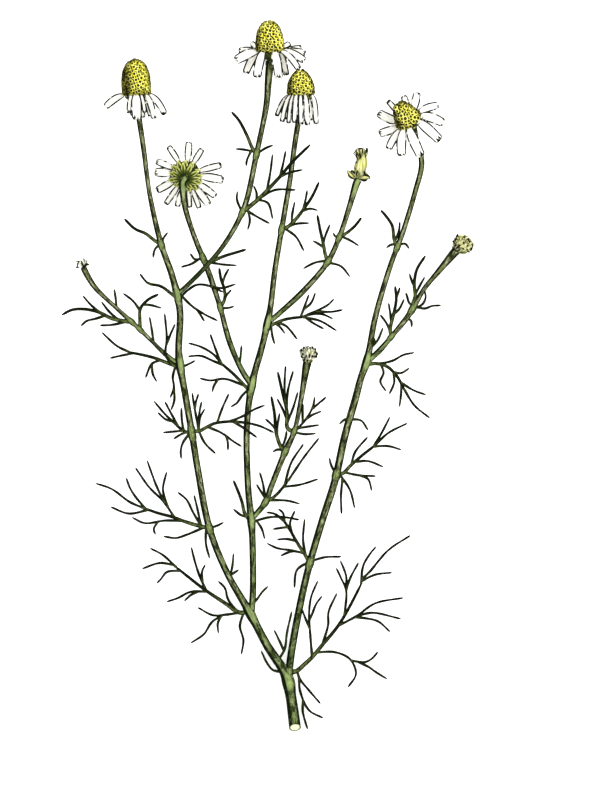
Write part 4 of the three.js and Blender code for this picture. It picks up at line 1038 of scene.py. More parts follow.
def turned(profile, sides):
    """Rings of points: a profile of (radius, height) turned round the upright axis."""
    angles = 2 * math.pi * np.arange(sides) / sides
    rows = [[(r * math.cos(a), r * math.sin(a), z) for a in angles] for r, z in profile]
    return np.array(rows)


def tapered(line, first, last):
    """Radii that shrink evenly along a line and end in a rounded point."""
    run = lengths_along(line)
    radii = first + (last - first) * run / run[-1]
    left = np.clip((run[-1] - run) / POINT_LENGTH, 0, 1)
    return radii * np.sqrt(np.clip(1 - (1 - left) ** 2, 0.02, 1))


# ---- Lines of the stems and leaves ----


def facing_of(flower):
    """The direction from a flower's foot to the top of its disc."""
    return unit(flower["facing"])


def neck_end(flower):
    """Where a flower's stem ends, under its cup."""
    return place(flower["foot"]) - facing_of(flower) * (NECK_LENGTH + SEAT_GAP)


def bud_end(bud):
    """Where a bud's stem ends."""
    foot = place(bud["foot"])
    return foot - unit(place(bud["top"]) - foot) * 2 * SEAT_GAP


def stem_line(name):
    """A stem's middle line, which ends where its flower or bud begins."""
    points = [place(spot) for spot in STEMS[name]["route"]]
    points += [neck_end(flower) for flower in FLOWERS.values() if flower["stem"] == name]
    points += [bud_end(bud) for bud in BUDS.values() if bud["stem"] == name]
    return smooth(points, STEM_SPACING)


STEM_LINES = {name: stem_line(name) for name in STEMS}


def climbing(root, spots, tip_height):
    """A line from a root through spots of the sheet that climbs evenly to its tip."""
    points = [np.array(root), *[place(spot) for spot in spots]]
    points[-1] = points[-1] + TIP_REACH * unit((points[-1] - points[-2]) * (1, 1, 0))
    run = [0.0]
    for a, b in zip(points, points[1:]):
        run.append(run[-1] + math.hypot(*(b - a)[:2]))
    for point, length in zip(points, run):
        point[2] = root[2] + (tip_height - root[2]) * length / run[-1]
    return smooth(points, LOBE_SPACING)


def lobe_lines(samples, lobes):
    """The lines of lobes. Each starts at the nearest place of the leaf so far."""
    lines = []
    for i, spots in enumerate(lobes):
        root = samples[nearest(samples, place(spots[0]))]
        tip = spots[-1]
        reach = math.hypot(*(place(tip) - root)[:2])
        side = 1 if i % 2 == 0 else -1
        height = tip[2] if len(tip) > 2 else max(LOWEST_TIP, root[2] + side * LOBE_SLOPE * reach)
        line = climbing(root, spots[1:], height)
        samples = np.concatenate([samples, line])
        lines.append(line)
    return lines


# ---- Growing the stems and leaves ----


def grow_lobes(skin, lines, look, seed, kind=None):
    """Narrow, pointed threads. A thread's mark is its share of length, a draw and its kind or shade."""
    draws = random.Random(seed)
    for line in lines:
        run = lengths_along(line)
        shade = LOBE_FOOT_SHADE * np.clip(1 - run / LOBE_FOOT_REACH, 0, 1) if kind is None else kind
        marks = marks_along(run / run[-1], draws.random(), shade)
        wobble = 1 + THREAD_WOBBLE * np.sin(run * 1.3 + 6 * draws.random())
        radii = tapered(line, mm(look.lobe_root), mm(look.lobe_tip)) * wobble
        tube(skin, line, radii, LOBE_SIDES, marks, flat=FLAT_THREAD)


def sheath(skin, line, middle, radius):
    """A leaf's base: a short, swollen sleeve round its stem."""
    reach = math.ceil(SHEATH_REACH / STEM_SPACING)
    part = smooth(line[max(0, middle - reach): middle + reach + 1], SHEATH_SPACING)
    run = lengths_along(part)
    share = run / run[-1]
    radii = radius + SHEATH_SWELL * np.sin(math.pi * share) ** 0.8 - SHEATH_SEAT
    tube(skin, part, radii, STEM_SIDES, marks_along(share, 0.5, 1.0), ridges=STEM_RIDGES, depth=0.05)


def stem_radius(name, share):
    """A stem's radius at a share of its length."""
    radii = STEMS[name]["radius"]
    return np.interp(share, np.linspace(0, 1, len(radii)), radii)


def build_stem(name, look, threads, material):
    """A finely ridged stem, a little swollen where branches part, with its small threads."""
    data, line = STEMS[name], STEM_LINES[name]
    run = lengths_along(line)
    share = run / run[-1]
    radii = stem_radius(name, share)
    branch = "from" in data
    shade = FOOT_SHADE * np.clip(1 - run / FOOT_SHADE_REACH, 0, 1) if branch else np.zeros(len(line))
    for other, values in STEMS.items():
        if values.get("from") == name:
            gap = np.linalg.norm(line - STEM_LINES[other][0], axis=1)
            node = np.exp(-((gap / NODE_REACH) ** 2))
            radii = radii + NODE_SWELL * values["radius"][0] * node
            shade = np.maximum(shade, NODE_SHADE * node)
    draw = random.Random(name).random()
    pale = data.get("pale_top", 0) * (1 - soft_step(*PALE_TOP_FADE, run[-1] - run))
    dark = data.get("dark_foot", 0) * soft_step(*DARK_FOOT_START, run)
    dark = dark * (1 - soft_step(*DARK_FOOT_END, run))
    marks = marks_along(share, draw, np.maximum(shade, pale) - dark)
    skin = Skin()
    slant = 0 if branch else CUT_SLANT
    tube(skin, line, radii, STEM_SIDES, marks, ridges=STEM_RIDGES, depth=look.ridge_depth, slant=slant)
    grow_lobes(skin, lobe_lines(line, data.get("twigs", [])), threads, name, TWIG)
    if not branch:
        cut_face(skin, line, radii[0])
    skin.piece(f"{name}_ridged", name, "stem", material)


def cut_face(skin, line, radius):
    """The oblique cut across the stem's foot: a pale pith inside a green rind."""
    back = unit(line[0] - line[1])
    side = unit(np.cross(back, UP))
    over = np.cross(side, back)
    rings = []
    for share in CUT_RINGS:
        row = []
        for k in range(STEM_SIDES):
            angle = 2 * math.pi * k / STEM_SIDES
            spot = (side * math.cos(angle) + over * math.sin(angle)) * radius * share * CUT_WIDTH
            lean = -back * CUT_SLANT * radius * share * math.sin(angle)
            row.append(line[0] + spot + lean + back * PITH_RISE * (1 - share ** 2))
        rings.append(row)
    rings = np.array(rings)
    marks = marks_along(CUT_RINGS, 0.5, CUT_FACE)[:, None, :]
    skin.grid(rings, rings - line[0], marks, end_cap=False)


def build_leaf(name, look, material):
    """A feathery leaf: its sheath, middle rib and thread-like lobes."""
    data = LEAVES[name]
    line = STEM_LINES[data["stem"]]
    middle = nearest(line, place(data["at"]))
    hub = line[middle]
    rib = climbing(hub, data["rib"], max(LOWEST_TIP, hub[2] + data["rise"]))
    run = lengths_along(rib)
    share = run / run[-1]
    skin = Skin()
    sheath(skin, line, middle, stem_radius(data["stem"], middle / (len(line) - 1)))
    marks = marks_along(share, 0.5, np.clip(1 - share * 1.6, 0, 1) * 0.6)
    stout = min(1, run[-1] / STOUT_LEAF)
    radii = mm(look.lobe_root) + mm(look.rib_root - look.lobe_root) * stout * (1 - share) ** 1.5
    radii = radii * np.sqrt(np.clip((1.02 - share) * 12, 0.05, 1))
    tube(skin, rib, radii, RIB_SIDES, marks, flat=FLAT_THREAD)
    grow_lobes(skin, lobe_lines(rib, data["lobes"]), look, name)
    skin.piece(f"{name}_threads", name, "leaf", material)


# ---- Growing the flower heads ----


class Head:
    """Where a flower head stands: it turns places of the upright head into places of the sprig."""

    def __init__(self, foot, facing):
        self.foot = foot
        turn = Vector(UP).rotation_difference(Vector(facing))
        self.turn = np.array(turn.to_matrix())

    def out(self, points):
        """Places of the upright head, in the sprig."""
        return np.asarray(points) @ self.turn.T + self.foot

    def vector(self, vectors):
        """Directions of the upright head, in the sprig."""
        return np.asarray(vectors) @ self.turn.T

    def into(self, point):
        """A place of the sprig, in the upright head."""
        return (np.asarray(point) - self.foot) @ self.turn


def head_of(flower):
    """The turn and foot of a flower's head."""
    return Head(place(flower["foot"]), facing_of(flower))


def away_from_light(vectors, shading):
    """How far directions point to the sprig's shaded side or past its outline, from 0 to 1."""
    side_start, outline_start = shading
    vectors = unit(vectors)
    side = soft_step(side_start, side_start + SIDE_SOFTNESS, vectors @ unit(SHADED_SIDE))
    aside = np.hypot(vectors[..., 0], vectors[..., 1])
    return np.maximum(side, soft_step(outline_start, outline_start + OUTLINE_SOFTNESS, aside))


def disc_outline(flower):
    """The dome's outline, from its rim to its top, as even steps of (radius, height)."""
    height = flower["height"] - FLORET_REACH
    dome = [(radius - FLORET_REACH, share * height) for radius, share in flower["dome"]]
    rim = [(share * dome[0][0], level) for share, level in DISC_RIM]
    line = smooth_outline([*rim, *dome, (0, height)], DISC_SPACING)
    line[:, 0] = np.maximum(line[:, 0], 0)
    return line


def build_disc(name, look, material):
    """The dome of tubular florets, set in spirals from the rim to the top."""
    flower = FLOWERS[name]
    head = head_of(flower)
    outline = disc_outline(flower)
    skin = Skin()
    core = turned([(max(r - FLORET_REACH, 0.01), z - CORE_DROP) for r, z in outline[::6]], HEAD_SIDES)
    # The core's first mark stays 0, which paints it in the dark shade that shows between the florets.
    marks = np.zeros(core.shape)
    outwards = head.vector(core - np.array([0, 0, 0.4 * flower["height"]]))
    marks[..., 1] = away_from_light(outwards, flower["shading"])
    marks[..., 2] = np.linspace(0, 1, len(core))[:, None]
    skin.grid(head.out(core), core, marks)
    lengths = np.hypot(*np.diff(outline, axis=0).T)
    area = np.cumsum([0, *(math.pi * (outline[1:, 0] + outline[:-1, 0]) * lengths)])
    floret_area = look.floret_area * flower["coarseness"]
    floret_radius = mm(look.floret_radius) * math.sqrt(floret_area)
    count = int(area[-1] / floret_area)
    draws = random.Random(name)
    slopes = unit(np.gradient(outline, axis=0))
    for i in range(count):
        at = int(np.interp((i + 0.5) / count * area[-1], area, np.arange(len(outline))))
        radius, level = outline[at]
        slope = slopes[at]
        angle = i * GOLDEN_ANGLE + draws.uniform(-1, 1) * FLORET_DRIFT / max(radius, 1)
        outward = np.array([slope[1] * math.cos(angle), slope[1] * math.sin(angle), -slope[0]])
        centre = np.array([radius * math.cos(angle), radius * math.sin(angle), level])
        floret(skin, head, centre, outward, i / count, draws, floret_radius, flower["shading"])
    skin.piece(f"{name}_tube_florets", f"{name}_disc_florets", "disc", material)


def floret(skin, head, centre, outward, share, draws, radius, shading):
    """One tubular floret: open, with five teeth, or a closed bud at the very top."""
    size = radius * (1 - 0.1 * soft_step(0.6, 1, share)) * (0.82 + 0.28 * draws.random())
    tall = FLORET_HEIGHT * (0.85 + 0.3 * draws.random())
    outward = unit(outward + FLORET_LEAN * np.array([draws.uniform(-1, 1), draws.uniform(-1, 1), 0.6]))
    side = unit(np.cross(outward, (0.3, 0.2, 1)))
    other = np.cross(outward, side)
    opened = 1 - soft_step(0.98, 1, share)
    shape = np.array(FLORET_SHAPE)
    shape[-1, 1] += 0.3 * (1 - opened)
    shape[-1, 3] = 1 - opened
    sides = 2 * FLORET_TEETH
    rows = []
    for width, level, tooth, _ in shape:
        row = []
        for k in range(sides):
            angle = 2 * math.pi * k / sides
            reach = size * width * (1 + tooth * opened * (1 if k % 2 else -1))
            spot = side * math.cos(angle) * reach + other * math.sin(angle) * reach
            row.append(centre + spot + outward * tall * level)
        rows.append(row)
    points = np.array(rows)
    marks = np.zeros(points.shape)
    marks[..., 0] = shape[:, 3, None]
    marks[..., 1] = away_from_light(head.vector(outward), shading)
    marks[..., 2] = share
    skin.grid(head.out(points), centre, marks, start_cap=False)


def ray_line(head, tip):
    """A ray's middle line in the upright head's own places, and its level direction outwards."""
    local = head.into(place(tip))
    out = math.hypot(local[0], local[1])
    reach = max(out - RIM_RADIUS, SHORTEST_RAY)
    root = np.array(RAY_ROOT)
    bend = np.array([RIM_RADIUS + STRAIGHT_SHARE * reach, RAY_ROOT[1] + 0.1 * local[2]])
    end = np.array([out, local[2]])
    outwards = local[:2] / out
    share = np.linspace(0, 1, RAY_STEPS)[:, None]
    flat = (1 - share) ** 2 * root + 2 * share * (1 - share) * bend + share ** 2 * end
    return np.concatenate([flat[:, :1] * outwards, flat[:, 1:]], axis=1), outwards


def ray(skin, head, tip, width, look, draws):
    """One white strap: three-toothed at its tip, with two long furrows and thin edges."""
    line, outwards = ray_line(head, tip)
    line = head.out(line)
    along = directions(line)
    round_head = head.vector(np.array([-outwards[1], outwards[0], 0.0]))
    level = unit(np.cross(along, UP))
    level = level * (-1 if (level @ round_head).sum() < 0 else 1)
    share = np.linspace(0, 1, len(line))
    lean = soft_step(0, 0.22, share)[:, None] * look.ray_lean
    across = unit(round_head[None, :] * (1 - lean) + level * lean)
    over = unit(np.cross(across, along))
    full = width / 2
    half = full * (0.5 + 0.5 * soft_step(0, 0.55, share)) * (1 - 0.1 * soft_step(0.7, 1, share))
    curl = draws.uniform(*RAY_CURL)
    length = lengths_along(line)[-1]

    def sheet(i, u):
        wave = math.cos(3 * math.pi * u)
        notch = RAY_CORNER * full * u ** 4 + RAY_TOOTH * full * (1 - wave) * (1 - 0.4 * abs(u))
        furrow = RAY_FURROW * wave * soft_step(0, 0.3, share[i])
        bent = curl * u * u + RAY_WAVE * math.sin(9 * share[i] + 5 * curl) * abs(u)
        middle = line[i] + across[i] * u * half[i] - along[i] * (notch * soft_step(0.6, 1, share[i]))
        thick = mm(look.ray_thickness) / 2 * (1 - 0.75 * u ** 4)
        top = middle + over[i] * (furrow + bent + thick)
        under = middle + over[i] * (furrow + bent - thick)
        return top, under, (u, share[i], length * share[i])

    ribbon(skin, len(line), RAY_COLUMNS, sheet, (draws.random(), full, length))


def build_rays(name, look, material):
    """The ring of white rays."""
    head = head_of(FLOWERS[name])
    skin = Skin()
    draws = random.Random(name)
    for *tip, width in FLOWERS[name]["rays"]:
        ray(skin, head, tip, width, look, draws)
    skin.piece(f"{name}_white_rays", f"{name}_ray_florets", "ray", material)


def bract(skin, head, angle, foot, tip, width, lift, draws, kind=SCALE, shade=0.0):
    """One small scale or petal, bowed outwards between its foot and tip of (radius, height)."""
    start = np.array(foot)
    along = np.array(tip) - start
    outwards = unit([along[1], -along[0]])
    radial = np.array([math.cos(angle), math.sin(angle)])
    side = np.array([-math.sin(angle), math.cos(angle), 0])

    def sheet(i, u):
        s = BRACT_STEPS[i]
        flat = start + along * s + outwards * lift * math.sin(math.pi * s)
        belly = 0.45 + 0.55 * math.sin(math.pi * min(s * 0.85 + 0.1, 1))
        half = width / 2 * belly * (1 - 0.5 * s ** 6)
        places = []
        for gap in (BRACT_RISE * (1 - u * u), BRACT_UNDER):
            r, z = flat + outwards * (gap - BRACT_HOLLOW * u * u)
            places.append(head.out(np.array([*(r * radial), z]) + side * u * half))
        return *places, (u, s, 0)

    ribbon(skin, len(BRACT_STEPS), PETAL_COLUMNS, sheet, (draws.random(), shade, kind))


def build_cup(name, material):
    """The receptacle with its cup of overlapping bracts, and the top of the flower's stalk."""
    flower = FLOWERS[name]
    head = head_of(flower)
    skin = Skin()
    profile = [STALK_TOP, *smooth_outline(CUP_PROFILE, CUP_SPACING), CUP_RIM]
    cone = [(radius, share * flower["height"]) for radius, share in CUP_CONE]
    cup = turned([*profile, *cone], HEAD_SIDES)
    angles = 2 * math.pi * np.arange(HEAD_SIDES) / HEAD_SIDES
    grain = np.zeros(cup.shape)
    grain[..., 0] = np.cos(angles)
    grain[..., 1] = np.sin(angles)
    grain[..., 2] = cup[..., 2]
    skin.grid(head.out(cup), grain, (0.0, flower["cup_shade"], 0.0))
    draws = random.Random(name)
    for row, (count, foot, (reach, level), width, lift) in enumerate(CUP_ROWS):
        for k in range(count):
            angle = 2 * math.pi * (k + 0.5 * row + 0.25 * draws.random()) / count
            tip = (flower["cup"] * reach * (1 + draws.uniform(-0.05, 0.07)), level)
            bract(skin, head, angle, foot, tip, width, lift, draws, shade=flower["cup_shade"])
    skin.piece(f"{name}_cup", f"{name}_receptacle", "involucre", material)


# ---- Growing the buds ----


def strap(skin, line, width, draws, kind):
    """A small petal along a line, lying as level as it can."""
    across, over = level_frame(line)
    run = lengths_along(line)
    share = run / run[-1]
    belly = np.sin(math.pi * np.minimum(0.8 * share + 0.15, 1))
    half = width / 2 * (0.5 + 0.5 * belly) * (1 - 0.6 * share ** 6)

    def sheet(i, u):
        middle = line[i] + across[i] * u * half[i]
        top = middle + over[i] * STRAP_RISE * (1 - u * u)
        under = middle - over[i] * STRAP_RISE / 2
        return top, under, (u, share[i], 0)

    ribbon(skin, len(line), PETAL_COLUMNS, sheet, (draws.random(), 0.0, kind))


def over_bud(data, head, spot):
    """The place of a spot of the sheet, on the bud's upper side if the spot has no height."""
    if len(spot) > 2:
        return place(spot)
    point = place([*spot, data["foot"][2]])
    off, axis = point - head.foot, head.vector(UP)
    aside = abs(off[0] * axis[1] - off[1] * axis[0]) / (data["radius"] * THREAD_SPREAD)
    point[2] += (data["radius"] + THREAD_LIFT) * math.sqrt(max(1 - aside ** 2, 0))
    return point


def build_bud(name, look, material):
    """A closed or half-open head: folded petals with a fringe of scales at its foot."""
    data = BUDS[name]
    foot, top = place(data["foot"]), place(data["top"])
    length = float(np.linalg.norm(top - foot))
    head = Head(foot, unit(top - foot))
    radius = data["radius"]
    draws = random.Random(name)
    sides = [(wide * radius, share * length) for share, wide in data["outline"]]
    outline = smooth_outline([(BUD_FOOT[0] * radius, BUD_FOOT[1]), *sides, (0.02, length)], BUD_SPACING)
    skin = Skin()
    bud_body(skin, head, outline, length, look)
    for row, (low, high, count, width, flare, kind) in enumerate(data["rings"]):
        for k in range(count):
            angle = 2 * math.pi * (k + 0.5 * row + 0.3 * draws.random()) / count
            start = (float(np.interp(low * length, outline[:, 1], outline[:, 0])) * 0.9, low * length)
            tip_share = high * draws.uniform(0.93, 1.05)
            wide = float(np.interp(min(tip_share, 1) * length, outline[:, 1], outline[:, 0]))
            end = (wide + flare * draws.uniform(0.7, 1.2), tip_share * length)
            bract(skin, head, angle, start, end, width, BUD_BOW, draws, kind)
    routes = [*data["straps"]]
    routes += [[spots, width, THREAD] for width, *spots in data["threads"]]
    routes += [[spots, width, TIPPED] for width, *spots in data["tips"]]
    for route, width, kind in routes:
        line = smooth([over_bud(data, head, spot) for spot in route], STRAP_SPACING)
        strap(skin, line, width, draws, kind)
    skin.piece(f"{name}_folded", name, data["slot"], material)


def bud_body(skin, head, outline, length, look):
    """The creased body inside a bud's petals."""
    rings = turned([(max(r, 0.01), z) for r, z in outline], BUD_SIDES)
    turn = np.arange(BUD_SIDES) / BUD_SIDES
    fold = np.abs(np.cos(BUD_FOLDS * math.pi * turn))
    level = np.clip(outline[:, 1] / length, 0, 1)[:, None]
    crease = 1 - look.fold_depth * fold ** 6 * soft_step(0.1, 0.4, level)
    rings[..., :2] *= crease[..., None]
    grain = np.empty(rings.shape)
    grain[..., 0] = fold ** 3
    grain[..., 1] = level
    grain[..., 2] = turn
    marks = np.zeros(rings.shape)
    marks[..., 1] = away_from_light(head.vector(rings - np.array([0, 0, 0.4 * length])), BUD_SHADING)
    skin.grid(head.out(rings), grain, marks)


# ---- Materials ----

DULL = {"Specular IOR Level": 0.015}
WHITE_LIGHT = (1.0, 1.0, 1.0, 1.0)


class Value:
    """A shader socket. Arithmetic on it adds maths nodes."""

    def __init__(self, paint, socket):
        self.paint = paint
        self.socket = socket

    def math(self, operation, *others):
        values = {0: self, **{i + 1: other for i, other in enumerate(others)}}
        return self.paint.node("ShaderNodeMath", {"operation": operation}, values)

    def __add__(self, other):
        return self.math("ADD", other)

    __radd__ = __add__

    def __mul__(self, other):
        return self.math("MULTIPLY", other)

    __rmul__ = __mul__

    def __sub__(self, other):
        return self.math("SUBTRACT", other)

    def __rsub__(self, other):
        return (self * -1) + other

    def __pow__(self, other):
        return self.math("POWER", other)

    def size(self):
        return self.math("ABSOLUTE")

    def above(self, other):
        return self.math("MAXIMUM", other)

    def below(self, other):
        return self.math("MINIMUM", other)

    def rise(self, low, high):
        """0 below low, 1 above high, and a smooth rise between them."""
        settings = {"interpolation_type": "SMOOTHSTEP"}
        return self.paint.node("ShaderNodeMapRange", settings, {0: self, 1: low, 2: high})

    def fall(self, low, high):
        """1 below low, 0 above high, and a smooth fall between them."""
        return 1 - self.rise(low, high)

    def reaches(self, kind):
        """1 where a mark is of this kind or a later one, and 0 before it."""
        return self.rise(kind - 0.7, kind - 0.3)


class Paint:
    """A material and its nodes."""

    def __init__(self, name):
        self.material = bpy.data.materials.new(name)
        self.material.use_nodes = True
        self.tree = self.material.node_tree
        self.tree.nodes.clear()

    def node(self, kind, settings=None, values=None, output=0):
        """Adds a node: its settings first, then the numbers or links of its sockets."""
        made = self.tree.nodes.new(kind)
        for key, value in (settings or {}).items():
            setattr(made, key, value)
        for key, value in (values or {}).items():
            if isinstance(value, Value):
                self.tree.links.new(value.socket, made.inputs[key])
            else:
                made.inputs[key].default_value = value
        return Value(self, made.outputs[output])

    def parts(self, attribute):
        """The three numbers of a mesh's vector attribute."""
        vector = self.node("ShaderNodeAttribute", {"attribute_name": attribute}, output=1)
        split = self.tree.nodes.new("ShaderNodeSeparateXYZ")
        self.tree.links.new(vector.socket, split.inputs[0])
        return [Value(self, socket) for socket in split.outputs]

    def vector(self, x, y, z):
        return self.node("ShaderNodeCombineXYZ", None, {0: x, 1: y, 2: z})

    def noise(self, vector, scale, detail=3.0, roughness=0.6):
        values = {"Vector": vector, "Scale": scale, "Detail": detail, "Roughness": roughness}
        return self.node("ShaderNodeTexNoise", {"normalize": True}, values)

    def place(self):
        """Where a point is in the frame, in millimetres."""
        values = {0: self.node("ShaderNodeTexCoord", output=3), "Scale": 1 / MM}
        return self.node("ShaderNodeVectorMath", {"operation": "SCALE"}, values)

    def coats(self, colour, *coats):
        """Coats over a first colour. Each is how far it covers, from 0 to 1, and its own colour."""
        for cover, coat in coats:
            colour = self.mix(cover, colour, coat)
        return colour

    def mix(self, share, first, second):
        """One colour turning into another as the share goes from 0 to 1."""
        settings = {"data_type": "RGBA", "clamp_factor": True}
        colours = {6: solid(first), 7: solid(second)}
        return self.node("ShaderNodeMix", settings, {0: share, **colours}, output=2)

    def finish(self, colour, roughness, height=None, depth=0.0, **shader):
        """The surface: its colour and roughness, and the height and depth of its relief in mm."""
        values = {"Base Color": colour, "Roughness": roughness, **shader}
        if height is not None:
            bump = {"Strength": 1.0, "Distance": depth * MM, "Height": height}
            values["Normal"] = self.node("ShaderNodeBump", None, bump)
        surface = self.node("ShaderNodeBsdfPrincipled", None, values)
        end = self.tree.nodes.new("ShaderNodeOutputMaterial")
        self.tree.links.new(surface.socket, end.inputs["Surface"])
        return self.material


def solid(colour):
    """A colour for a socket: links stay as they are, and plain colours get their fourth number."""
    return colour if isinstance(colour, Value) else (*colour[:3], 1.0)


def stem_skin(look):
    """Ribbed green skin: painted shade down its left side and in its furrows, a thin dark right edge,
    long streaks, pale nodes and a cut face.
    """
    paint = Paint("stem_skin")
    across, over, along = paint.parts("grain")
    share, draw, kind = paint.parts("mark")

    def long_noise(wide, high, long, start, scale, roughness):
        """Noise drawn out along the stem."""
        spot = paint.vector(across * wide, over * high, along * long + draw * start)
        return paint.noise(spot, scale, 4.0, roughness)

    streaks = long_noise(1.6, 1.6, 0.16, 40, 2.6, 0.7)
    strokes = long_noise(0.9, 0.9, 0.2, 9, 1.7, 0.8).rise(0.49, 0.54)
    pale = long_noise(1.2, 1.1, 0.24, 31, 1.6, 0.8).rise(0.53, 0.57)
    patches = paint.noise(paint.place(), 0.45, 3.0, 0.6)
    furrow = (0.5 + 0.5 * (over.math("ARCTAN2", across) * STEM_RIDGES).math("COSINE")) ** 1.6
    broken = paint.noise(paint.vector(draw * 7, 0.0, along * 0.3 + draw * 23), 1.0, 2.0, 0.6)
    # Painted shade down the side to the stem's left, as if lit from the right, and a thinner dark edge
    # on its right; both are broken here and there and kept to the upper half.
    left = (across * -1).rise(0.26, 0.46) * (0.7 + 0.3 * broken.rise(0.36, 0.46))
    right = across.rise(0.52, 0.7) * (0.6 + 0.4 * (1 - broken).rise(0.4, 0.5))
    edge = left.above(right) * over.rise(-0.3, 0.0)
    line = (across - 0.22).size().fall(0.03, 0.14) * strokes
    # Painted shade in the furrows, mixed with random dark strokes and a broken dark line along the stem.
    dark = (furrow * 0.35 + strokes - 0.08).above(line * 0.95).below(0.9)
    node = kind.rise(0.08, 0.6) * (1 - kind.reaches(CUT_FACE))
    rings = paint.coats(
        look.pith,
        (share.rise(0.66, 0.76), look.fresh),
        (share.rise(0.86, 0.94), look.furrow),
    )
    colour = paint.coats(
        look.ridge,
        (patches.rise(0.42, 0.6), look.fresh),
        (share.rise(0.12, 0.4) * 0.6, look.olive),
        (pale * (0.3 + 0.55 * share.rise(0.08, 0.35)), look.pale),
        (node * (0.62 + 0.34 * patches.rise(0.4, 0.6)), look.node),
        (dark * (1 - node * 0.65), look.furrow),
        (edge, look.furrow),
        (kind.fall(-0.8, -0.2), look.twig),
        (kind.reaches(CUT_FACE), rings),
    )
    return paint.finish(colour, 0.62 + 0.2 * streaks, streaks * 0.6 - furrow * 0.4, 0.12, **DULL)


def leaf_skin(look):
    """Dark, narrow lobes that turn olive towards the leaf's base and its sheath."""
    paint = Paint("leaf_skin")
    across, over, along = paint.parts("grain")
    share, draw, base = paint.parts("mark")
    streaks = paint.noise(paint.vector(across, over, along * 0.35 + draw * 30), 2.2, 3.0, 0.65)
    lines = (over.math("ARCTAN2", across) * 12).math("SINE").rise(0.4, 0.9)
    foot = paint.coats(
        look.olive,
        (streaks.rise(0.42, 0.6), look.green),
        (base.rise(0.6, 1.0), paint.mix(streaks.rise(0.4, 0.6), look.sheath, look.olive)),
        (lines * base.rise(0.8, 1.0) * 0.5, look.green),
    )
    colour = paint.coats(
        look.dark,
        (streaks.rise(0.4, 0.6), look.green),
        ((1 - share).rise(0.45, 0.9) * 0.7, look.green),
        (share.rise(0.8, 1.0) * 0.7, look.dark),
        (base.rise(0.03, 0.4), foot),
        (across.size().rise(0.35, 0.7) * 0.9, look.dark),
    )
    return paint.finish(colour, 0.65 + 0.2 * streaks, streaks, 0.06, **DULL)


def ray_skin(look):
    """Matt white straps with fine grey veins and a thin dark edge, broken here and there."""
    paint = Paint("ray_skin")
    across, share, along = paint.parts("grain")
    draw, full, length = paint.parts("mark")
    wide = across.size()
    streaks = paint.noise(paint.vector(across * 2.2, draw * 30, along * 0.22), 2.4, 4.0, 0.7)
    breaks = paint.noise(paint.vector(across * 0.6, draw * 50, along * 0.55), 1.3, 2.0, 0.5)
    veins = (wide - 0.33).size().fall(0.02, 0.09).above(wide.fall(0.01, 0.06))
    veins = veins * streaks.rise(0.45, 0.6) * share.rise(0.05, 0.2) * share.fall(0.75, 0.95)
    rim = ((1 - wide) * full).fall(0.4, 0.58)
    ragged = (across * 3 + draw * 20).math("SINE") * 0.3 + (across * 11 + draw * 9).math("SINE") * 0.2
    tip = (length - along + ragged * full * 0.6).fall(0.32, 0.52)
    whole = (breaks.rise(0.36, 0.44) * 0.65 + 0.35).above(share.fall(0.15, 0.4))
    colour = paint.coats(
        look.white,
        (streaks.rise(0.35, 0.75) * 0.5, look.cream),
        ((1 - share).rise(0.8, 1.0) * 0.8, look.foot),
        (veins * 0.7, look.vein),
        (rim.above(tip) * whole, look.edge),
    )
    relief = streaks - veins * 0.5
    # The rays give off a painted glow in their own colour, which lifts those lying in shade.
    return paint.finish(colour, 0.7 + 0.15 * streaks, relief, 0.05, **DULL, **painted_glow(colour, look))


def disc_skin(look):
    """Yellow florets, with painted shade between them and olive painted shade on the shaded side and
    round the rim.
    """
    paint = Paint("disc_skin")
    level, shaded, share = paint.parts("mark")
    patches = paint.noise(paint.place(), 0.9, 3.0, 0.6)
    mottle = paint.noise(paint.place(), 1.1, 3.0, 0.7)
    # Painted shade: olive florets round the rim and on the shaded side, mottled.
    low = share.fall(0.0, 0.25) * 0.8
    shade = (shaded.above(low) * (0.4 + mottle * 1.2)).below(1.0) * 0.95
    # Dark specks, a few at random and most in the painted shade of the shaded side.
    specks = (mottle + 0.04 * shaded).rise(0.53, 0.58) * (0.15 + 0.85 * shaded)
    colour = paint.coats(
        look.yellow,
        (patches.rise(0.35, 0.65), look.lemon),
        (shade, paint.mix(patches.rise(0.4, 0.6), look.olive, look.shade)),
        # Painted shade between the florets and in their open mouths, and the dark specks.
        (level.fall(0.4, 0.85).above(specks) * 0.97, look.gap),
    )
    # The florets give off a painted glow in their own colour, which lightens them all.
    return paint.finish(colour, 0.7 + 0.2 * patches, patches, 0.08, **DULL, **painted_glow(colour, look))


def painted_glow(colour, look):
    """A painted glow: light given off in the surface's own colour, though it is no lamp."""
    return {"Emission Color": colour, "Emission Strength": look.glow}


def cup_skin(look):
    """Small green scales with a dark middle line, a pale margin, and painted shade between them and over
    shaded cups.
    """
    paint = Paint("cup_skin")
    across, share, _ = paint.parts("grain")
    draw, shade, kind = paint.parts("mark")
    wide = across.size()
    streaks = paint.noise(paint.vector(across * 2.4, draw * 40, share * 1.2), 2.2, 3.0, 0.7)
    middle = wide.fall(0.12, 0.26) * share.fall(0.6, 0.84) * streaks.rise(0.32, 0.42)
    margin = (wide.rise(0.4, 0.54) * share.rise(0.2, 0.5)).above(share.rise(0.84, 0.94))
    # Painted shade along the sides of each scale, where it meets the next.
    gap = wide.rise(0.55, 0.64) * (1 - share.rise(0.9, 1.0) * 0.5)
    mottle = paint.noise(paint.place(), 0.8, 3.0, 0.6).rise(0.3, 0.5)
    scale = paint.coats(
        look.green,
        (streaks.rise(0.35, 0.7), look.lime),
        (margin, look.margin),
        (middle * 0.95, look.line),
        ((1 - share).rise(0.45, 0.85) * 0.8, look.line),
        (gap, look.line),
    )
    colour = paint.coats(
        look.green,
        (mottle, look.line),
        (kind.reaches(SCALE), scale),
        # Painted shade over the whole cup, as much as its flower's `cup_shade`.
        (shade, look.line),
    )
    return paint.finish(colour, 0.6 + 0.2 * streaks, streaks, 0.06, **DULL)


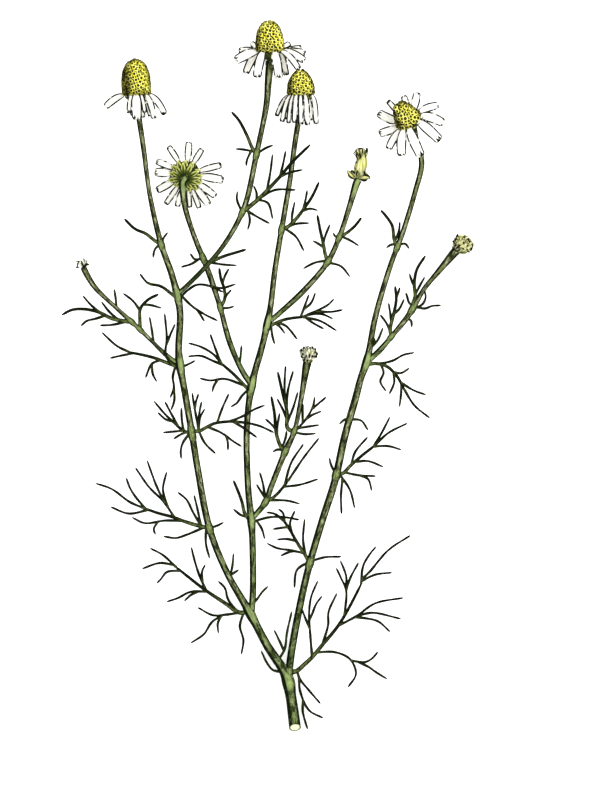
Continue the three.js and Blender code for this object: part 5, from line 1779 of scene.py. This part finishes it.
def bud_skin(look, name, petal):
    """Small, dark-edged petals over a dark body, scales at the foot and dark threads."""
    paint = Paint(name)
    across, share, turn = paint.parts("grain")
    draw, shaded, kind = paint.parts("mark")
    wide = across.size()
    inked = kind.reaches(INKED)
    streaks = paint.noise(paint.vector(across * 2 + turn * 9, draw * 20, share * 2), 1.5, 3.0, 0.65)
    edge = (wide + inked * 0.22).rise(0.54, 0.68).above(share.rise(0.84, 0.95))
    scale = paint.coats(
        look.scale,
        (streaks.rise(0.4, 0.6), look.margin),
        (wide.fall(0.08, 0.3) * 0.8, look.dark),
        (edge * 0.85, look.dark),
    )
    strap = paint.coats(
        petal,
        (streaks.rise(0.4, 0.65), look.margin),
        ((1 - share).rise(0.5, 1.0) * 0.6, look.scale),
        (wide.fall(0.04, 0.16) * streaks.rise(0.42, 0.55) * 0.7, look.dark),
        (edge * (0.45 + 0.45 * inked), look.dark),
    )
    dark_end = (kind.reaches(TIPPED) * share.rise(0.3, 0.45)).above(kind.reaches(THREAD))
    colour = paint.coats(
        look.crease,
        # Painted shade on the bud's shaded side.
        (shaded, look.shade),
        (kind.reaches(SCALE), scale),
        (kind.reaches(PETAL), strap),
        (dark_end, look.dark),
    )
    return paint.finish(colour, 0.6 + 0.2 * streaks, streaks, 0.06, **DULL)


def floor_skin(look):
    """A plain, pale, matt surface."""
    paint = Paint("floor_skin")
    grain = paint.noise(paint.place(), 0.05, 3.0, 0.5)
    colour = paint.mix(grain, look.floor, [channel * 0.995 for channel in look.floor])
    glow = {"Emission Color": WHITE_LIGHT, "Emission Strength": look.page_glow}
    return paint.finish(colour, 0.9 + 0.05 * grain, **glow)


# ---- What a user would change ----


def size(name, default, description, least=0.0):
    """A length in the scene's metres, given in millimetres."""
    return FloatProperty(
        name=name, default=default * MM, min=least * MM, precision=5,
        subtype="DISTANCE", unit="LENGTH", description=description,
    )


def amount(name, default, most, description):
    """A plain number from 0 up."""
    return FloatProperty(name=name, default=default, min=0.0, max=most, description=description)


def tint(name, default, description):
    """A colour in linear light."""
    return FloatVectorProperty(
        name=name, default=default, size=3, min=0.0, max=1.0,
        subtype="COLOR", description=description,
    )


def mm(length):
    """A scene length in millimetres."""
    return length / MM


class StemLook(PropertyGroup):
    ridge_depth: amount("Furrow depth", 0.09, 0.4, "Depth of the furrows, in radii of the stem")
    ridge: tint("Ridges", (0.075, 0.105, 0.028), "Green of the ridges")
    fresh: tint("Fresh ridges", (0.165, 0.220, 0.072), "Green of the paler patches")
    olive: tint("Upper stems", (0.145, 0.152, 0.060), "Olive that mixes in above the stem's foot")
    pale: tint("Pale streaks", (0.420, 0.450, 0.260), "Grey-green of the short, pale streaks")
    furrow: tint("Furrows", (0.004, 0.008, 0.002), "Green of the furrows and the shaded side")
    twig: tint("Twigs", (0.014, 0.024, 0.005), "Small threads that grow from the stems")
    node: tint("Nodes", (0.280, 0.370, 0.130), "Yellow-green where a branch or leaf starts")
    pith: tint("Pith", (0.780, 0.800, 0.560), "Pale middle of the cut face")


class ThreadLook(PropertyGroup):
    lobe_root: size("Lobe foot", 0.46, "Radius of a leaf's thread where it starts")
    lobe_tip: size("Lobe tip", 0.35, "Radius of a leaf's thread just before its point")
    rib_root: size("Rib foot", 0.78, "Radius of a leaf's middle rib where it leaves the stem")
    dark: tint("Dark lobes", (0.003, 0.005, 0.002), "Green of the lobes' tips")
    green: tint("Lobes", (0.010, 0.016, 0.004), "Green of the lobes")
    olive: tint("Rib", (0.105, 0.135, 0.038), "Green of the rib near the stem")
    sheath: tint("Sheath", (0.230, 0.300, 0.105), "Yellow-green of the leaf's base")


class RayLook(PropertyGroup):
    ray_thickness: size("Thickness", 0.26, "Thickness in the middle of a ray")
    ray_lean: amount("Lean", 0.85, 1.0, "How far a ray lies level instead of along the head's rim")
    # Painted glow: the rays give off light of their own, though they are no lamp.
    glow: amount("Glow", 0.18, 1.0, "Light that comes through the thin rays")
    white: tint("White", (0.850, 0.840, 0.780), "White of the rays")
    cream: tint("Cream", (0.800, 0.790, 0.660), "Cream streaks")
    foot: tint("Foot", (0.620, 0.640, 0.300), "Green-cream of a ray's foot")
    vein: tint("Veins", (0.300, 0.300, 0.260), "Grey of the fine veins")
    edge: tint("Edge", (0.008, 0.009, 0.007), "Dark edge")


class DiscLook(PropertyGroup):
    floret_area: FloatProperty(
        name="Floret area", default=1.0, min=0.2, max=4.0,
        description="Area of the dome for each floret, in square millimetres",
    )
    floret_radius: size("Floret", 0.54, "Radius of an open floret")
    # Painted glow: the florets give off light of their own, though they are no lamp.
    glow: amount("Glow", 0.2, 1.0, "Light that comes through the florets")
    yellow: tint("Yellow", (0.800, 0.740, 0.055), "Yellow of the florets")
    lemon: tint("Lemon", (0.980, 0.950, 0.260), "Paler yellow")
    olive: tint("Olive", (0.120, 0.112, 0.014), "Shaded florets")
    shade: tint("Shade", (0.022, 0.022, 0.004), "Darkest florets")
    # Painted shade between the florets and in their open mouths.
    gap: tint("Gaps", (0.006, 0.006, 0.001), "Between the florets")


class CupLook(PropertyGroup):
    green: tint("Green", (0.200, 0.260, 0.045), "Green of the scales")
    lime: tint("Lime", (0.400, 0.420, 0.060), "Paler green of the scales")
    line: tint("Line", (0.018, 0.030, 0.006), "Dark middle line and shade between scales")
    margin: tint("Margin", (0.800, 0.780, 0.340), "Papery margin")


class BudLook(PropertyGroup):
    fold_depth: amount("Crease depth", 0.1, 0.5, "Depth of the body's creases, in radii of the bud")
    cream: tint("Cream", (0.770, 0.760, 0.310), "Folded petals")
    crease: tint("Crease", (0.300, 0.300, 0.090), "Creases between folded petals")
    white: tint("White", (0.900, 0.890, 0.780), "Folded petals of the palest buds")
    green: tint("Green bud", (0.620, 0.620, 0.150), "Narrow, half-open buds")
    scale: tint("Scales", (0.240, 0.290, 0.070), "Scales at the foot")
    margin: tint("Margin", (0.760, 0.750, 0.450), "Pale margins")
    shade: tint("Shade", (0.090, 0.110, 0.030), "Shaded side")
    dark: tint("Dark", (0.006, 0.008, 0.003), "Dark lines and thread tips")


class StageLook(PropertyGroup):
    camera_height: size("Camera height", 4000, "Height of the camera over the surface")
    frame_height: size("Frame height", 240, "Height of the picture's frame, measured on the surface")
    frame_x: size("Frame middle, right", 9.6, "Middle of the frame, to the right of the origin")
    frame_y: size("Frame middle, up", -7.2, "Middle of the frame, above the origin", least=-1000)
    floor_side: size("Floor side", 6000, "Side of the square floor")
    key_side: size("Key light side", 1200, "Side of the soft square light overhead")
    key_power: amount("Key light", 12.0, 1000.0, "Power of the soft light overhead, in watts")
    page_glow: amount("Page glow", 0.5, 10.0, "Light of the white surface itself")
    fill: amount("Sky light", 1.15, 10.0, "Strength of the light from all round")
    floor: tint("Floor", (0.990, 0.990, 0.985), "Colour of the surface")


# ---- Operators ----

# Where the soft light stands, in the scene's metres.
KEY_SPOT = (0.8, 0.4, 1.0)


def grow_all(table, build, look, material):
    """Builds one piece for each name in a table."""
    for name in table:
        build(name, look, material)
    return {"FINISHED"}


class SPRIG_OT_stems(Operator):
    """Grows the main stem and its branches"""

    bl_idname = "sprig.stems"
    bl_label = "Stems"

    def execute(self, context):
        scene = context.scene
        material = stem_skin(scene.sprig_stem)
        for name in STEMS:
            build_stem(name, scene.sprig_stem, scene.sprig_thread, material)
        return {"FINISHED"}


class SPRIG_OT_leaves(Operator):
    """Grows the feathery leaves"""

    bl_idname = "sprig.leaves"
    bl_label = "Leaves"

    def execute(self, context):
        look = context.scene.sprig_thread
        return grow_all(LEAVES, build_leaf, look, leaf_skin(look))


class SPRIG_OT_cups(Operator):
    """Sets the cup of bracts under each flower head"""

    bl_idname = "sprig.cups"
    bl_label = "Cups of bracts"

    def execute(self, context):
        material = cup_skin(context.scene.sprig_cup)
        for name in FLOWERS:
            build_cup(name, material)
        return {"FINISHED"}


class SPRIG_OT_discs(Operator):
    """Sets the yellow domes of tubular florets"""

    bl_idname = "sprig.discs"
    bl_label = "Discs"

    def execute(self, context):
        look = context.scene.sprig_disc
        return grow_all(FLOWERS, build_disc, look, disc_skin(look))


class SPRIG_OT_rays(Operator):
    """Sets the rings of white rays"""

    bl_idname = "sprig.rays"
    bl_label = "White rays"

    def execute(self, context):
        look = context.scene.sprig_ray
        return grow_all(FLOWERS, build_rays, look, ray_skin(look))


class SPRIG_OT_buds(Operator):
    """Sets the closed and half-open heads"""

    bl_idname = "sprig.buds"
    bl_label = "Buds"

    def execute(self, context):
        look = context.scene.sprig_bud
        skins = {
            tone: bud_skin(look, f"{tone}_bud_skin", getattr(look, tone))
            for tone in ("cream", "green", "white")
        }
        for name, data in BUDS.items():
            build_bud(name, look, skins[data["tone"]])
        return {"FINISHED"}


class SPRIG_OT_stage(Operator):
    """Lays the pale surface and sets the light and the camera"""

    bl_idname = "sprig.stage"
    bl_label = "Stage"

    def execute(self, context):
        scene = context.scene
        look = scene.sprig_stage
        half = look.floor_side / 2
        corners = [(-half, -half, 0), (half, -half, 0), (half, half, 0), (-half, half, 0)]
        mesh = bpy.data.meshes.new("floor")
        mesh.from_pydata(corners, [], [(0, 1, 2, 3)])
        mesh.materials.append(floor_skin(look))
        floor = bpy.data.objects.new("floor", mesh)
        scene.collection.objects.link(floor)
        scene.view_settings.view_transform = "Standard"
        add_light("soft_key", look.key_power, KEY_SPOT, look.key_side)
        world = bpy.data.worlds.new("studio")
        world.use_nodes = True
        sky = world.node_tree.nodes["Background"]
        sky.inputs["Color"].default_value = WHITE_LIGHT
        sky.inputs["Strength"].default_value = look.fill
        scene.world = world
        add_camera(scene, look)
        return {"FINISHED"}


def add_light(name, power, spot, side):
    """A square area light that points at the origin."""
    data = bpy.data.lights.new(name, "AREA")
    data.energy = power
    data.size = side
    lamp = bpy.data.objects.new(name, data)
    lamp.location = spot
    lamp.rotation_euler = (-Vector(spot)).to_track_quat("-Z", "Y").to_euler()
    bpy.context.scene.collection.objects.link(lamp)


def add_camera(scene, look):
    """A camera with a long lens that looks straight down, with the flowers at the top."""
    data = bpy.data.cameras.new("camera")
    data.sensor_fit = "VERTICAL"
    data.lens = data.sensor_height * look.camera_height / look.frame_height
    data.clip_end = 3 * look.camera_height
    camera = bpy.data.objects.new("camera", data)
    camera.location = (look.frame_x, look.frame_y, look.camera_height)
    scene.collection.objects.link(camera)
    scene.camera = camera


class SPRIG_PT_panel(Panel):
    """Lists the sprig's steps and looks in the sidebar"""

    bl_label = "Chamomile sprig"
    bl_idname = "SPRIG_PT_panel"
    bl_space_type = "VIEW_3D"
    bl_region_type = "UI"
    bl_category = "Sprig"

    def draw(self, context):
        for operator, look in STEPS:
            box = self.layout.box()
            box.operator(operator.bl_idname)
            settings = getattr(context.scene, look)
            for key in settings.bl_rna.properties.keys():
                if key not in ("rna_type", "name"):
                    box.prop(settings, key)


LOOKS = {
    "sprig_stem": StemLook,
    "sprig_thread": ThreadLook,
    "sprig_cup": CupLook,
    "sprig_disc": DiscLook,
    "sprig_ray": RayLook,
    "sprig_bud": BudLook,
    "sprig_stage": StageLook,
}
STEPS = [
    (SPRIG_OT_stems, "sprig_stem"),
    (SPRIG_OT_leaves, "sprig_thread"),
    (SPRIG_OT_cups, "sprig_cup"),
    (SPRIG_OT_discs, "sprig_disc"),
    (SPRIG_OT_rays, "sprig_ray"),
    (SPRIG_OT_buds, "sprig_bud"),
    (SPRIG_OT_stage, "sprig_stage"),
]
CLASSES = [*LOOKS.values(), *[operator for operator, _ in STEPS], SPRIG_PT_panel]


def register():
    for item in CLASSES:
        bpy.utils.register_class(item)
    for key, look in LOOKS.items():
        setattr(bpy.types.Scene, key, PointerProperty(type=look))


def unregister():
    for key in LOOKS:
        delattr(bpy.types.Scene, key)
    for item in reversed(CLASSES):
        bpy.utils.unregister_class(item)


def main():
    register()
    for operator, _ in STEPS:
        group, name = operator.bl_idname.split(".")
        getattr(getattr(bpy.ops, group), name)()


if __name__ == "__main__":
    main()
